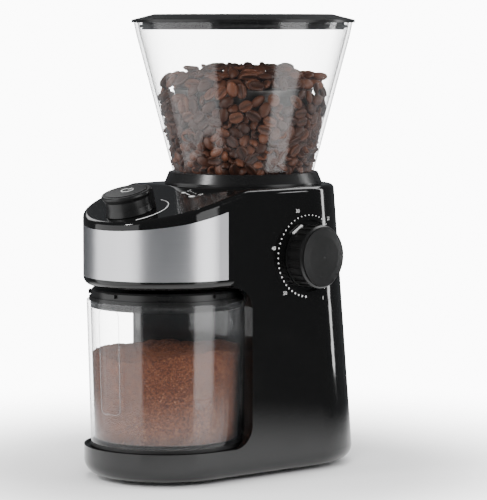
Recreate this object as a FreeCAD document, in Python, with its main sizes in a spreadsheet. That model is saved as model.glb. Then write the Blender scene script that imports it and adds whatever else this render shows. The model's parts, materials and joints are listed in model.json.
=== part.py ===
"""Burr coffee grinder: housing, drive, burrs, hopper and container, in millimetres.

The row's origin is on the floor under the middle of the plan. +Z is up, the container
faces -Y and the grind dial is on the +X side.
"""
import FreeCAD, Part

import math
import operator
import os

import Sketcher
from FreeCAD import Placement, Rotation, Vector

SIZES = {
    # housing plan and heights
    "foot_height": 3.0,
    "front_radius": 57.25,
    "front_centre": -49.0,
    "base_half_width": 67.0,
    "top_half_width": 63.6,
    "base_rear": 104.4,
    "top_rear": 87.2,
    "corner_radius": 56.0,
    "deck_height": 200.5,
    "wall": 2.6,
    "base_fillet": 10.0,
    "fit_gap": 0.1,
    "loose_gap": 0.4,
    # container bay
    "bay_floor": 23.2,
    "bay_ceiling": 134.0,
    "bay_radius": 57.5,
    "bay_side_depth": 24.5,
    "bay_corner": 16.0,
    "head_fillet": 6.0,
    # sloping deck
    "slope_start": 179.2,
    "slope_end_rise": 21.3,
    "slope_length": 78.83,
    "skirt_front": 174.0,
    "skirt_mid_drop": 0.8,
    "skirt_at_band_end": 186.3,
    "skirt_rear_drop": 6.0,
    "deck_bend": 25.0,
    "deck_fillet": 3.4,
    "plinth_lip": 1.2,
    "plinth_depth": 12.0,
    # steel band
    "band_bottom": 140.2,
    "band_end": 3.2,
    "band_thickness": 0.6,
    # base plate
    "floor_inset": 14.0,
    "plate_thickness": 2.2,
    "foot_radius": 8.0,
    "front_foot_across": 26.0,
    "front_foot_ahead": 7.0,
    "rear_foot_across": 36.0,
    "rear_foot_inset": 50.0,
    "front_screw_across": 14.0,
    "front_screw_ahead": 23.0,
    "rear_screw_across": 41.0,
    "rear_screw_inset": 36.0,
    "boss_radius": 4.5,
    "screw_radius": 1.6,
    "screw_head_radius": 3.2,
    # hopper
    "hopper_centre": 27.3,
    "neck_radius": 50.0,
    "neck_bottom": 203.0,
    "cone_bottom": 208.8,
    "cone_top": 305.0,
    "cone_top_radius": 75.4,
    "rim_height": 314.0,
    "rim_radius": 77.3,
    "hopper_wall": 2.5,
    "lid_radius": 78.95,
    "lid_crown_radius": 63.0,
    "lid_height": 320.0,
    "lid_edge": 2.0,
    "lid_wall": 2.2,
    "lid_skirt_radius": 71.5,
    "lid_skirt_depth": 5.0,
    "seal_stand": 2.0,
    "collar_base_radius": 55.6,
    "collar_top_radius": 52.9,
    "collar_skirt_radius": 51.9,
    "collar_skirt_depth": 4.5,
    "spout_radius": 20.0,
    "spout_bottom": 190.5,
    "funnel_wall": 2.0,
    # container
    "jar_bottom": 25.5,
    "jar_height": 123.7,
    "jar_base_radius": 52.35,
    "jar_top_radius": 54.9,
    "jar_wall": 2.5,
    "cap_radius": 52.0,
    "cap_height": 131.6,
    "cap_wall": 2.2,
    "cap_flange_radius": 53.4,
    "cap_flange_depth": 2.4,
    "cap_plug_depth": 5.0,
    "cap_hole_radius": 16.0,
    "cap_hole_offset": 24.0,
    "cap_lug_reach": 1.6,
    # grinding chamber and burrs
    "chamber_bottom": 136.6,
    "chamber_radius": 30.0,
    "chamber_wall": 3.0,
    "chamber_floor": 3.0,
    "chamber_top": 159.55,
    "chamber_flange_radius": 43.4,
    "chamber_flange": 3.0,
    "chute_half_width": 9.0,
    "chute_wall": 1.5,
    "chute_front": 13.0,
    "chute_length": 16.0,
    "shaft_radius": 5.0,
    "journal_radius": 3.0,
    "shaft_top": 174.0,
    "burr_bottom": 150.5,
    "cone_burr_radius": 19.2,
    "cone_burr_top_radius": 14.0,
    "cone_burr_height": 19.5,
    "ring_burr_radius": 27.0,
    "ring_burr_height": 14.6,
    "burr_space": 0.9,
    "carrier_radius": 37.2,
    "carrier_top": 172.0,
    "carrier_lift": 0.95,
    "bail_wire": 1.2,
    "bail_corner": 5.0,
    "bail_half_width": 27.9,
    "bail_rise": 1.3,
    "ear_thickness": 2.0,
    "ear_half_length": 3.0,
    "ear_cover": 1.4,
    "ear_root": 1.5,
    # grind adjustment
    "dial_height": 152.4,
    "dial_floor": 61.9,
    "dial_face": 78.95,
    "dial_radius": 21.9,
    "dial_recess_radius": 25.2,
    "dial_ribs": 24,
    "dial_rib_depth": 0.8,
    "dial_rib_width": 3.0,
    "dial_shaft_radius": 3.0,
    "adjust_module": 1.0,
    "dial_teeth": 12,
    "ring_teeth": 96,
    "ring_toothed": 22,
    "ring_face_width": 5.0,
    "ring_thickness": 8.35,
    "backlash": 0.3,
    # drive
    "motor_offset": 21.2,
    "motor_radius": 28.0,
    "motor_wall": 1.6,
    "motor_bottom": 20.0,
    "motor_top": 74.0,
    "motor_shaft_radius": 2.5,
    "chassis_thickness": 4.0,
    "gear_module": 0.7,
    "motor_teeth": 10,
    "idler_big_teeth": 32,
    "idler_small_teeth": 12,
    "final_teeth": 34,
    "gear_backlash": 0.12,
    "case_wall": 2.0,
    "case_height": 25.0,
    # selector knob
    "knob_centre": -83.0,
    "knob_radius": 17.2,
    "knob_waist": 15.5,
    "knob_height": 14.6,
    "pointer_reach": 1.1,
    "pointer_half_width": 1.6,
    "button_radius": 14.9,
    "button_travel": 1.6,
    "selector_shaft_radius": 3.0,
}

OPERATIONS = {"+": operator.add, "-": operator.sub, "*": operator.mul, "/": operator.truediv}

document = FreeCAD.newDocument("BurrGrinder")
sheet = document.addObject("Spreadsheet::Sheet", "Dims")
parts = {}


class Size:
    """A length that carries the sheet expression it comes from."""

    def __init__(self, value, text=None):
        self.value = float(value)
        self.text = text or f"({self.value:.6f})"
        self.bound = text is not None

    def __add__(self, other):
        return combined(self, "+", other)

    def __radd__(self, other):
        return combined(other, "+", self)

    def __sub__(self, other):
        return combined(self, "-", other)

    def __rsub__(self, other):
        return combined(other, "-", self)

    def __mul__(self, other):
        return combined(self, "*", other)

    def __rmul__(self, other):
        return combined(other, "*", self)

    def __truediv__(self, other):
        return combined(self, "/", other)

    def __rtruediv__(self, other):
        return combined(other, "/", self)

    def __neg__(self):
        return combined(0, "-", self)

    def __float__(self):
        return self.value


class Sheet:
    """The driving sizes, each readable as an attribute."""


def as_size(number):
    return number if isinstance(number, Size) else Size(number)


def combined(left, sign, right):
    left, right = as_size(left), as_size(right)
    result = Size(OPERATIONS[sign](left.value, right.value), f"({left.text} {sign} {right.text})")
    result.bound = left.bound or right.bound
    return result


def root(number):
    return Size(math.sqrt(number.value), f"sqrt({number.text})")


def fill_sheet():
    """Write every size into the sheet and return them as Size values."""
    sizes = Sheet()
    for row, (name, value) in enumerate(SIZES.items(), start=1):
        sheet.set(f"A{row}", name)
        sheet.set(f"B{row}", str(value))
        sheet.setAlias(f"B{row}", name)
        setattr(sizes, name, Size(value, f"Dims.{name}"))
    document.recompute()
    return sizes


s = fill_sheet()


def bind(item, prop, number):
    """Give a property its value, and its expression when it comes from the sheet."""
    number = as_size(number)
    if number.bound:
        item.setExpression(prop, number.text)
    else:
        item.setExpression(prop, f"{number.value:.6f}")


def place(item, at=(0, 0, 0), turn=Rotation()):
    item.Placement = Placement(Vector(*[as_size(length).value for length in at]), turn)
    for axis, length in zip("xyz", at):
        if as_size(length).bound:
            item.setExpression(f"Placement.Base.{axis}", as_size(length).text)


def body(label, at=(0, 0, 0), turn=Rotation()):
    item = document.addObject("PartDesign::Body", label)
    item.Label = label
    place(item, at, turn)
    return item


def plane(item, role):
    return next(part for part in item.Origin.OriginFeatures if part.Role == role)


def sketch(item, role="XY_Plane", height=0):
    drawing = item.newObject("Sketcher::SketchObject", item.Name + "_sketch")
    drawing.AttachmentSupport = (plane(item, role), [""])
    drawing.MapMode = "FlatFace"
    drawing.AttachmentOffset = Placement(Vector(0, 0, as_size(height).value), Rotation())
    bind(drawing, "AttachmentOffset.Base.z", height)
    return drawing


def pin(drawing, geometry, point, across, up):
    """Fix one point of a sketch at two lengths from its origin."""
    for kind, length, axis in (("DistanceX", across, -2), ("DistanceY", up, -1)):
        length = as_size(length)
        if not length.bound and length.value == 0:
            drawing.addConstraint(Sketcher.Constraint("PointOnObject", geometry, point, axis))
            continue
        index = drawing.addConstraint(
            Sketcher.Constraint(kind, -1, 1, geometry, point, length.value)
        )
        if length.bound:
            drawing.setExpression(f"Constraints[{index}]", length.text)


def radius_of(drawing, geometry, radius):
    index = drawing.addConstraint(
        Sketcher.Constraint("Radius", geometry, as_size(radius).value)
    )
    bind(drawing, f"Constraints[{index}]", radius)


def polygon(drawing, corners):
    """A closed outline of straight lines through the given corners."""
    first = drawing.GeometryCount
    count = len(corners)
    spots = [Vector(as_size(x).value, as_size(y).value, 0) for x, y in corners]
    for index in range(count):
        drawing.addGeometry(Part.LineSegment(spots[index], spots[(index + 1) % count]))
    for index in range(count):
        after = first + (index + 1) % count
        drawing.addConstraint(Sketcher.Constraint("Coincident", first + index, 2, after, 1))
    for index, (x, y) in enumerate(corners):
        pin(drawing, first + index, 1, x, y)


def rectangle(drawing, left, low, right, high):
    polygon(drawing, [(left, low), (right, low), (right, high), (left, high)])


def circle(drawing, across, up, radius):
    centre = Vector(as_size(across).value, as_size(up).value, 0)
    shape = Part.Circle(centre, Vector(0, 0, 1), as_size(radius).value)
    geometry = drawing.addGeometry(shape)
    pin(drawing, geometry, 3, across, up)
    radius_of(drawing, geometry, radius)


def plan_outline(drawing, height, inset):
    """The housing's plan at a height: round front, straight flanks, rounded rear."""
    rise = (as_size(height) - s.foot_height) / (s.deck_height - s.foot_height)
    half = s.base_half_width + (s.top_half_width - s.base_half_width) * rise
    rear = s.base_rear + (s.top_rear - s.base_rear) * rise
    front = s.front_radius - inset
    corner = s.corner_radius - inset
    across = half - s.corner_radius
    back = rear - s.corner_radius
    f = Vector(0, s.front_centre.value, 0)
    c = Vector(across.value, back.value, 0)
    gap = c - f
    lean = math.atan2(gap.y, gap.x) - math.acos((front.value - corner.value) / gap.Length)
    out = Vector(math.cos(lean), math.sin(lean), 0)
    up = Vector(0, 0, 1)
    start, end = f + out * front.value, c + out * corner.value
    top = c + Vector(0, corner.value, 0)

    def mirror(v):
        return Vector(-v.x, v.y, 0)

    shapes = [
        Part.ArcOfCircle(Part.Circle(f, up, front.value), math.pi - lean, 2 * math.pi + lean),
        Part.LineSegment(start, end),
        Part.ArcOfCircle(Part.Circle(c, up, corner.value), lean, math.pi / 2),
        Part.LineSegment(top, mirror(top)),
        Part.ArcOfCircle(Part.Circle(mirror(c), up, corner.value), math.pi / 2, math.pi - lean),
        Part.LineSegment(mirror(end), mirror(start)),
    ]
    drawing.addGeometry(shapes)
    joins = ((0, 2, 1, 1), (1, 2, 2, 1), (2, 2, 3, 1), (3, 2, 4, 1), (4, 2, 5, 1), (5, 2, 0, 1))
    for join in joins:
        drawing.addConstraint(Sketcher.Constraint("Tangent", *join))
    pin(drawing, 0, 3, 0, s.front_centre)
    pin(drawing, 2, 3, across, back)
    pin(drawing, 4, 3, -across, back)
    radius_of(drawing, 0, front)
    radius_of(drawing, 2, corner)
    drawing.addConstraint(Sketcher.Constraint("Equal", 2, 4))


def pad(item, drawing, length, both_ways=False, backwards=False):
    feature = item.newObject("PartDesign::Pad", item.Name + "_pad")
    feature.Profile = drawing
    feature.Reversed = backwards
    if both_ways:
        feature.SideType = "Symmetric"
    bind(feature, "Length", length)
    return feature


def pocket(item, drawing, length, both_ways=False, backwards=False):
    feature = item.newObject("PartDesign::Pocket", item.Name + "_pocket")
    feature.Profile = drawing
    feature.Reversed = backwards
    if both_ways:
        feature.SideType = "Symmetric"
    bind(feature, "Length", length)
    return feature


def around(item, feature, drawing, count):
    pattern = item.newObject("PartDesign::PolarPattern", item.Name + "_pattern")
    pattern.Originals = [feature]
    pattern.Axis = (drawing, ["N_Axis"])
    pattern.Angle = 360
    pattern.Occurrences = int(as_size(count).value)
    if as_size(count).bound:
        pattern.setExpression("Occurrences", as_size(count).text)
    item.Tip = pattern
    return pattern


def turned(label, corners, at=(0, 0, 0), turn=Rotation()):
    """A body turned about its own Z axis from radius and height pairs."""
    item = body(label, at, turn)
    drawing = sketch(item, "XZ_Plane")
    polygon(drawing, corners)
    feature = item.newObject("PartDesign::Revolution", label + "_revolution")
    feature.Profile = drawing
    feature.ReferenceAxis = (drawing, ["V_Axis"])
    feature.Angle = 360
    return item


def tube(label, inner, outer, low, high, at=(0, 0, 0), turn=Rotation()):
    """A plain ring, or a disc where there is no inner radius."""
    return turned(label, [(inner, low), (outer, low), (outer, high), (inner, high)], at, turn)


def block(label, left, right, front, back, low, high, at=(0, 0, 0), turn=Rotation()):
    item = body(label, at, turn)
    drawing = sketch(item, height=low)
    rectangle(drawing, left, front, right, back)
    pad(item, drawing, as_size(high) - low)
    return item


def profile_block(label, corners, width, at=(0, 0, 0), turn=Rotation()):
    """A side view of Y and Z corners, extruded equally to both sides in X."""
    item = body(label, at, turn)
    drawing = sketch(item, "YZ_Plane")
    polygon(drawing, corners)
    pad(item, drawing, width, both_ways=True)
    return item


def plan_loft(label, inset, low, high):
    """The housing's outer form, inset by a wall, between two heights."""
    item = body(label)
    sections = []
    for height in (low, high):
        drawing = sketch(item, height=height)
        plan_outline(drawing, height, inset)
        sections.append(drawing)
    loft = item.newObject("PartDesign::AdditiveLoft", label + "_loft")
    loft.Profile = sections[0]
    loft.Sections = sections[1:]
    loft.Ruled = True
    return item


def rounded(item, radius, test, label=None):
    """Fillet the edges of a body that pass the test."""
    document.recompute()
    tip = item.Tip
    names = [f"Edge{i}" for i, edge in enumerate(tip.Shape.Edges, start=1) if test(edge)]
    feature = item.newObject("PartDesign::Fillet", (label or item.Name) + "_fillet")
    feature.Base = (tip, names)
    bind(feature, "Radius", radius)
    return feature



def cut(label, base, *tools):
    for number, tool in enumerate(tools):
        last = number == len(tools) - 1
        result = document.addObject("Part::Cut", label if last else f"{label}_cut{number}")
        result.Base = base
        result.Tool = tool
        base = result
    base.Label = label
    return base


def fused(label, *shapes):
    result = document.addObject("Part::MultiFuse", label)
    result.Shapes = list(shapes)
    result.Label = label
    return result


def common(label, *shapes):
    result = document.addObject("Part::MultiCommon", label)
    result.Shapes = list(shapes)
    result.Label = label
    return result


def solid_feature(label, shape, at=(0, 0, 0), turn=Rotation()):
    item = document.addObject("Part::Feature", label)
    item.Label = label
    item.Shape = shape
    place(item, at, turn)
    return item


def node(item):
    """Mark an object as one of the grinder's sub-parts."""
    parts[item.Label] = item
    return item


def at_height(edge, height, slack=0.05):
    box = edge.BoundBox
    return abs(box.ZMin - height) < slack and abs(box.ZMax - height) < slack


# The frame that every piece is placed from.
hopper_axis = (0, s.hopper_centre, 0)
container_axis = (0, s.front_centre, 0)
motor_centre = s.hopper_centre + s.motor_offset
motor_axis = (0, motor_centre, 0)
plate_top = s.foot_height + s.wall
boss_top = s.bay_floor - s.wall + 0.5
dial_turn = Rotation(Vector(1, 1, 1), 120)
dial_place = (s.dial_floor, s.hopper_centre, s.dial_height)
big = 400
slope = s.slope_end_rise / s.slope_length
deck_front = s.front_centre - s.front_radius
bend_start = deck_front + s.slope_length
deck_lean = math.degrees(math.atan(slope.value))
first_stage = s.gear_module * (s.motor_teeth + s.idler_big_teeth) / 2
second_stage = s.gear_module * (s.idler_small_teeth + s.final_teeth) / 2
idler_along = (
    second_stage * second_stage - first_stage * first_stage + s.motor_offset * s.motor_offset
) / (2 * s.motor_offset)
idler_across = root(second_stage * second_stage - idler_along * idler_along)
idler_axis = (idler_across, s.hopper_centre + idler_along, 0)
knob_surface = s.slope_start + slope * (s.knob_centre - deck_front)
knob_place = (0, s.knob_centre, knob_surface)
knob_turn = Rotation(Vector(1, 0, 0), deck_lean)
pointer_angle = 40
gland_height = 24
gland_back = s.base_rear - 4.2
pinion_out = s.adjust_module * s.ring_teeth / 2 + s.ring_face_width / 2
gearbox_low = s.motor_top + s.chassis_thickness
bail_reach = s.shaft_radius * 3
bail_height = s.carrier_top + s.bail_rise


def deck_line_block(label, drop, top=None):
    """Everything under the deck's upper surface, lowered by a drop square to it."""
    item = body(label)
    drawing = sketch(item, "YZ_Plane")
    front = deck_front - 20
    low = s.bay_ceiling + 10
    polygon(
        drawing,
        [
            (front, low),
            (s.base_rear + 20, low),
            (s.base_rear + 20, s.deck_height - drop),
            (bend_start, s.deck_height - drop),
            (front, s.slope_start - slope * 20 - drop),
        ],
    )
    pad(item, drawing, big, both_ways=True)
    bend_y, bend_z = bend_start.value, s.deck_height.value - as_size(drop).value

    def at_bend(edge):
        box = edge.BoundBox
        near = abs(box.YMin - bend_y) < 0.01 and abs(box.ZMin - bend_z) < 0.01
        return near and box.XLength > 100

    rounded(item, s.deck_bend, at_bend)
    return item


def skirt_block(label, drop=0):
    """Everything above the seam between housing and deck."""
    item = body(label)
    drawing = sketch(item, "YZ_Plane")
    front = deck_front - 20
    band_back = s.front_centre + s.band_end
    lean = (s.skirt_at_band_end - s.skirt_front) / (band_back - deck_front)
    rear = s.deck_height - s.skirt_rear_drop
    top = s.deck_height + 30
    polygon(
        drawing,
        [
            (front, s.skirt_front - lean * 20 - drop),
            (deck_front, s.skirt_front - drop),
            ((deck_front + band_back) / 2, (s.skirt_front + s.skirt_at_band_end) / 2
             - s.skirt_mid_drop - drop),
            (band_back, s.skirt_at_band_end - drop),
            (bend_start, rear - drop),
            (s.base_rear + 20, rear - drop),
            (s.base_rear + 20, top),
            (front, top),
        ],
    )
    pad(item, drawing, big, both_ways=True)
    return item


def bay_form(label, extra):
    """The container's bay, grown on every side by a wall."""
    low, high = s.bay_floor - extra, s.bay_ceiling + extra
    round_part = tube(label + "_round", 0, s.bay_radius + extra, low, high, container_axis)
    side = body(label + "_side")
    drawing = sketch(side, "YZ_Plane")
    rectangle(drawing, deck_front - 20, low, s.front_centre + s.bay_side_depth + extra, high)
    pad(side, drawing, big, both_ways=True)
    back = s.front_centre.value + s.bay_side_depth.value + as_size(extra).value

    def rear_corner(edge):
        return edge.BoundBox.XLength > 100 and abs(edge.BoundBox.YMin - back) < 0.01

    rounded(side, s.bay_corner + extra, rear_corner)
    return fused(label, round_part, side)


def rounded_form(label, inset):
    """The outer form from the floor up, with its rounded foot, inset by a wall."""
    shoulder = s.foot_height + s.base_fillet
    low = s.foot_height + inset
    item = body(label)
    drawing = sketch(item, height=shoulder)
    plan_outline(drawing, shoulder, inset)
    pad(item, drawing, shoulder - low, backwards=True)
    bottom = as_size(low).value
    rounded(item, s.base_fillet - inset - 0.05, lambda edge: at_height(edge, bottom))
    top = sketch(item, height=s.deck_height)
    plan_outline(top, s.deck_height, inset)
    base = sketch(item, height=shoulder)
    plan_outline(base, shoulder, inset)
    loft = item.newObject("PartDesign::AdditiveLoft", label + "_loft")
    loft.Profile = base
    loft.Sections = [top]
    loft.Ruled = True
    return item


def head_rounding():
    """What is taken off to round the head's lower edge over the container."""
    core = body("head_core")
    drawing = sketch(core, height=s.bay_ceiling)
    plan_outline(drawing, s.bay_ceiling, 0)
    pad(core, drawing, s.head_fillet + 5)
    low = s.bay_ceiling.value
    rounded(core, s.head_fillet, lambda edge: at_height(edge, low))
    around_it = block(
        "head_surround", -big / 2, big / 2, deck_front - 20,
        s.front_centre + s.bay_side_depth - s.bay_corner, s.bay_ceiling - 1,
        s.bay_ceiling + s.head_fillet,
    )
    return cut("head_rounding", around_it, core)


def make_housing():
    outer = rounded_form("outer_form", 0)
    inner = rounded_form("inner_form", s.wall)
    cavity = cut("cavity", inner, bay_form("bay_core", s.wall))
    shell = cut("shell", outer, cavity, bay_form("bay_space", 0))
    band_core = plan_loft("band_core", s.band_thickness + 0.05, s.bay_ceiling, s.deck_height)
    band_side = profile_block(
        "band_side",
        [
            (deck_front - 20, s.band_bottom - 0.05),
            (s.front_centre + s.band_end + 0.05, s.band_bottom - 0.05),
            (s.front_centre + s.band_end + 0.05, s.deck_height),
            (deck_front - 20, s.deck_height),
        ],
        big,
    )
    band_recess = cut("band_recess", band_side, band_core)
    floor_hole = plan_loft("floor_hole", s.floor_inset, s.foot_height - 1, plate_top + 1)
    dial_recess = tube(
        "dial_recess", 0, s.dial_recess_radius, 0, 10, dial_place, dial_turn
    )
    dial_bore = tube(
        "dial_bore", 0, s.dial_shaft_radius + 3, -20, 10, dial_place, dial_turn
    )
    chute_hole = block(
        "chute_hole",
        -(s.chute_half_width + s.chute_wall + s.fit_gap),
        s.chute_half_width + s.chute_wall + s.fit_gap,
        s.front_centre + s.chute_front - s.fit_gap,
        s.front_centre + s.chute_front + s.chute_length + 2 * s.chute_wall + s.fit_gap,
        s.bay_ceiling - 1,
        s.bay_ceiling + s.wall + 1,
    )
    gland_hole = tube(
        "gland_hole", 0, 6.1, -10, 20, (0, gland_back, gland_height),
        Rotation(Vector(1, 0, 0), -90),
    )
    dial_pad = tube("dial_pad", 0, s.dial_recess_radius + 2, -s.wall, 6, dial_place, dial_turn)
    backing = [dial_pad]
    for side in (-1, 1):
        x, y = boss_centres()[2 if side < 0 else 3]
        ends = sorted((x, x + side * 40), key=float)
        backing.append(block(f"rib{side + 1}", *ends, y - 1.2, y + 1.2, plate_top, boss_top))
    backing = common("inner_backing", fused("backing_forms", *backing), outer)
    bosses = [
        tube(f"boss{number}", 0, s.boss_radius, plate_top, boss_top, (x, y, 0))
        for number, (x, y) in enumerate(boss_centres())
    ]
    screw_holes = [
        tube(f"boss_hole{number}", 0, s.screw_radius, 0, boss_top - 2, (x, y, 0))
        for number, (x, y) in enumerate(boss_centres())
    ]
    solid = fused("housing_solid", shell, backing, *bosses)
    groove = tube("bay_groove", 53.6, 55.6, s.bay_floor - 1, s.bay_floor + 1, container_axis)
    return cut(
        "main_housing", solid, skirt_block("deck_space"), band_recess, floor_hole,
        dial_recess, dial_bore, chute_hole, gland_hole, groove, head_rounding(), *screw_holes,
    )


def boss_centres():
    """Where the base screws go: two under the bay, two at the rear."""
    front = s.front_centre - s.front_screw_ahead
    rear = s.base_rear - s.rear_screw_inset
    near, far = s.front_screw_across, s.rear_screw_across
    return [(-near, front), (near, front), (-far, rear), (far, rear)]


def make_steel_band():
    outer = plan_loft("band_outer", 0, s.bay_ceiling, s.deck_height)
    core = plan_loft("band_inner", s.band_thickness, s.bay_ceiling - 1, s.deck_height + 1)
    side = profile_block(
        "band_profile",
        [
            (deck_front - 20, s.band_bottom),
            (s.front_centre + s.band_end, s.band_bottom),
            (s.front_centre + s.band_end, s.deck_height),
            (deck_front - 20, s.deck_height),
        ],
        big,
    )
    sheet_metal = common("band_sheet", cut("band_skin", outer, core), side)
    return cut("steel_band", sheet_metal, skirt_block("band_trim", 0.05))


def make_top_deck():
    outer = plan_loft("deck_outer", 0, s.bay_ceiling, s.deck_height + 20)
    whole = common("deck_whole", outer, deck_line_block("deck_top", 0))
    document.recompute()
    soft = document.addObject("Part::Fillet", "deck_rounded")
    soft.Base = whole
    rim = [i for i, edge in enumerate(whole.Shape.Edges, start=1)
           if edge.BoundBox.ZMin > s.skirt_front.value]
    soft.Edges = [(i, s.deck_fillet.value, s.deck_fillet.value) for i in rim]
    slab = common("deck_slab", soft, skirt_block("deck_low"))
    plinth = tube("deck_plinth", s.collar_skirt_radius, s.collar_base_radius + s.plinth_lip,
                  s.deck_height - s.plinth_depth, s.deck_height, hopper_axis)
    solid = fused("deck_solid", slab, plinth)
    inner = common(
        "deck_inner",
        plan_loft("deck_core", s.wall, s.bay_ceiling, s.deck_height),
        deck_line_block("deck_under", s.wall),
    )
    mouth = tube("deck_mouth", 0, s.collar_skirt_radius + s.fit_gap, s.bay_ceiling,
                 s.deck_height + 10, hopper_axis)
    bore = tube("deck_bore", 0, s.selector_shaft_radius + 0.5, -20, 20, knob_place, knob_turn)
    return cut("top_deck", solid, inner, mouth, bore)


def make_base_plate():
    plate = plan_loft("plate_form", s.floor_inset + 0.3, plate_top - s.plate_thickness, plate_top)
    holes = [
        tube(f"plate_hole{number}", 0, s.screw_radius + 0.3, 0, 20, (x, y, 0))
        for number, (x, y) in enumerate(boss_centres())
    ]
    slots = []
    for number in range(7):
        across = (number - 3) * 7
        slots.append(block(f"vent{number}", across - 1.5, across + 1.5,
                           motor_centre - 20, motor_centre + 20, 0, 20))
    return cut("base_plate", plate, *holes, *slots)


def make_feet():
    low = plate_top - s.plate_thickness
    front = s.front_centre - s.front_foot_ahead
    rear = s.base_rear - s.rear_foot_inset
    spots = {
        "foot_front_left": (-s.front_foot_across, front),
        "foot_front_right": (s.front_foot_across, front),
        "foot_rear_left": (-s.rear_foot_across, rear),
        "foot_rear_right": (s.rear_foot_across, rear),
    }
    for name, (x, y) in spots.items():
        foot = turned(name, [(0, 0), (s.foot_radius - 1, 0), (s.foot_radius, 1),
                             (s.foot_radius, low), (0, low)], (x, y, 0))
        node(foot)


def make_base_screws():
    head_low = plate_top - s.plate_thickness - 1.6
    screws = [
        turned(
            f"base_screw{number}",
            [
                (0, head_low), (s.screw_head_radius, head_low),
                (s.screw_head_radius, head_low + 1.6), (s.screw_radius, head_low + 1.6),
                (s.screw_radius, boss_top - 4), (0, boss_top - 4),
            ],
            (x, y, 0),
        )
        for number, (x, y) in enumerate(boss_centres())
    ]
    return fused("base_screws", *screws)


def make_cord_gland():
    """A bush for the supply lead, low in the rear wall."""
    return turned(
        "cord_gland",
        [(3.2, -6), (6, -6), (6, 3.2), (8, 3.2), (8, 4.4), (5, 5.8), (3.2, 5.8)],
        (0, gland_back, gland_height), Rotation(Vector(1, 0, 0), -90),
    )


def make_hopper():
    neck_inner = s.neck_radius - s.hopper_wall
    node(turned(
        "hopper_bin",
        [
            (s.neck_radius, s.neck_bottom), (s.neck_radius, s.cone_bottom),
            (s.cone_top_radius, s.cone_top), (s.rim_radius, s.rim_height),
            (s.rim_radius - s.hopper_wall, s.rim_height),
            (s.cone_top_radius - s.hopper_wall, s.cone_top),
            (neck_inner, s.cone_bottom), (neck_inner, s.neck_bottom),
        ],
        hopper_axis,
    ))
    edge = neck_inner - s.fit_gap
    node(turned(
        "hopper_funnel",
        [
            (edge - 1.8, s.cone_bottom), (edge, s.cone_bottom), (edge, s.neck_bottom + 1.2),
            (s.spout_radius + s.funnel_wall, s.spout_bottom + 4.7),
            (s.spout_radius + s.funnel_wall, s.spout_bottom), (s.spout_radius, s.spout_bottom),
            (s.spout_radius, s.spout_bottom + 6.1), (edge - 1.8, s.neck_bottom + 2.6),
        ],
        hopper_axis,
    ))
    rest = s.neck_bottom - 0.05
    ledge = s.collar_skirt_radius - 3.7
    sleeve = s.neck_radius + s.fit_gap
    node(turned(
        "hopper_lock_ring",
        [
            (sleeve, rest), (sleeve, s.cone_bottom), (s.collar_top_radius, s.cone_bottom),
            (s.collar_base_radius, s.deck_height + 1.7),
            (s.collar_base_radius, s.deck_height + s.fit_gap),
            (s.collar_skirt_radius, s.deck_height + s.fit_gap),
            (s.collar_skirt_radius, s.deck_height - s.collar_skirt_depth),
            (ledge, s.deck_height - s.collar_skirt_depth), (ledge, rest),
        ],
        hopper_axis,
    ))


def make_hopper_lid():
    rim = s.rim_height
    skirt_low = rim - s.lid_skirt_depth
    skirt_inner = s.lid_skirt_radius - s.lid_wall
    node(turned(
        "hopper_lid",
        [
            (0, s.lid_height), (s.lid_crown_radius, s.lid_height),
            (s.lid_radius, rim + s.lid_edge), (s.lid_radius, rim),
            (s.lid_skirt_radius, rim), (s.lid_skirt_radius, skirt_low),
            (skirt_inner, skirt_low), (skirt_inner, rim + 1.2),
            (s.lid_crown_radius - 1.5, s.lid_height - s.lid_wall), (0, s.lid_height - s.lid_wall),
        ],
        hopper_axis,
    ))
    node(tube("lid_seal", s.lid_skirt_radius, s.lid_skirt_radius + s.seal_stand - 0.3,
              skirt_low + 1.5, skirt_low + 3.5, hopper_axis))


def make_container():
    inner_base = s.jar_base_radius - s.jar_wall
    inner_top = s.jar_top_radius - s.jar_wall
    node(turned(
        "container_jar",
        [
            (0, s.jar_bottom), (s.jar_base_radius, s.jar_bottom),
            (s.jar_top_radius, s.jar_height - 3), (s.jar_top_radius, s.jar_height),
            (inner_top, s.jar_height), (inner_base, s.jar_bottom + s.jar_wall),
            (0, s.jar_bottom + s.jar_wall),
        ],
        container_axis,
    ))
    node(tube("container_foot_ring", s.jar_base_radius - 8, s.jar_base_radius, s.bay_floor,
              s.jar_bottom, container_axis))
    top = s.cap_height
    under = top - s.cap_wall
    plug = inner_top - 0.4
    plug_low = s.jar_height - s.cap_plug_depth
    flange_top = s.jar_height + s.cap_flange_depth
    cap = turned(
        "cap_form",
        [
            (0, top), (s.cap_radius - 1.2, top), (s.cap_radius, top - 1.2),
            (s.cap_radius, flange_top), (s.cap_flange_radius, flange_top),
            (s.cap_flange_radius, s.jar_height), (plug, s.jar_height),
            (plug, plug_low), (plug - s.cap_wall, plug_low), (plug - s.cap_wall, under), (0, under),
        ],
        container_axis,
    )
    hole = tube("cap_hole", 0, s.cap_hole_radius, under - 5, top + 5,
                (0, s.front_centre + s.cap_hole_offset, 0))
    lugs = body("cap_lugs", container_axis)
    drawing = sketch(lugs, height=flange_top + 1.6)
    rectangle(drawing, s.cap_radius - 2, -5, s.cap_radius + s.cap_lug_reach, 5)
    lug = pad(lugs, drawing, top - 1.4 - flange_top - 1.6)
    around(lugs, lug, drawing, 8)
    node(cut("container_lid", fused("cap_with_lugs", cap, lugs), hole))
    node(tube("container_gasket", plug, inner_top - 0.15, s.jar_height - 3.2, s.jar_height - 1.4,
              container_axis))


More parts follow.
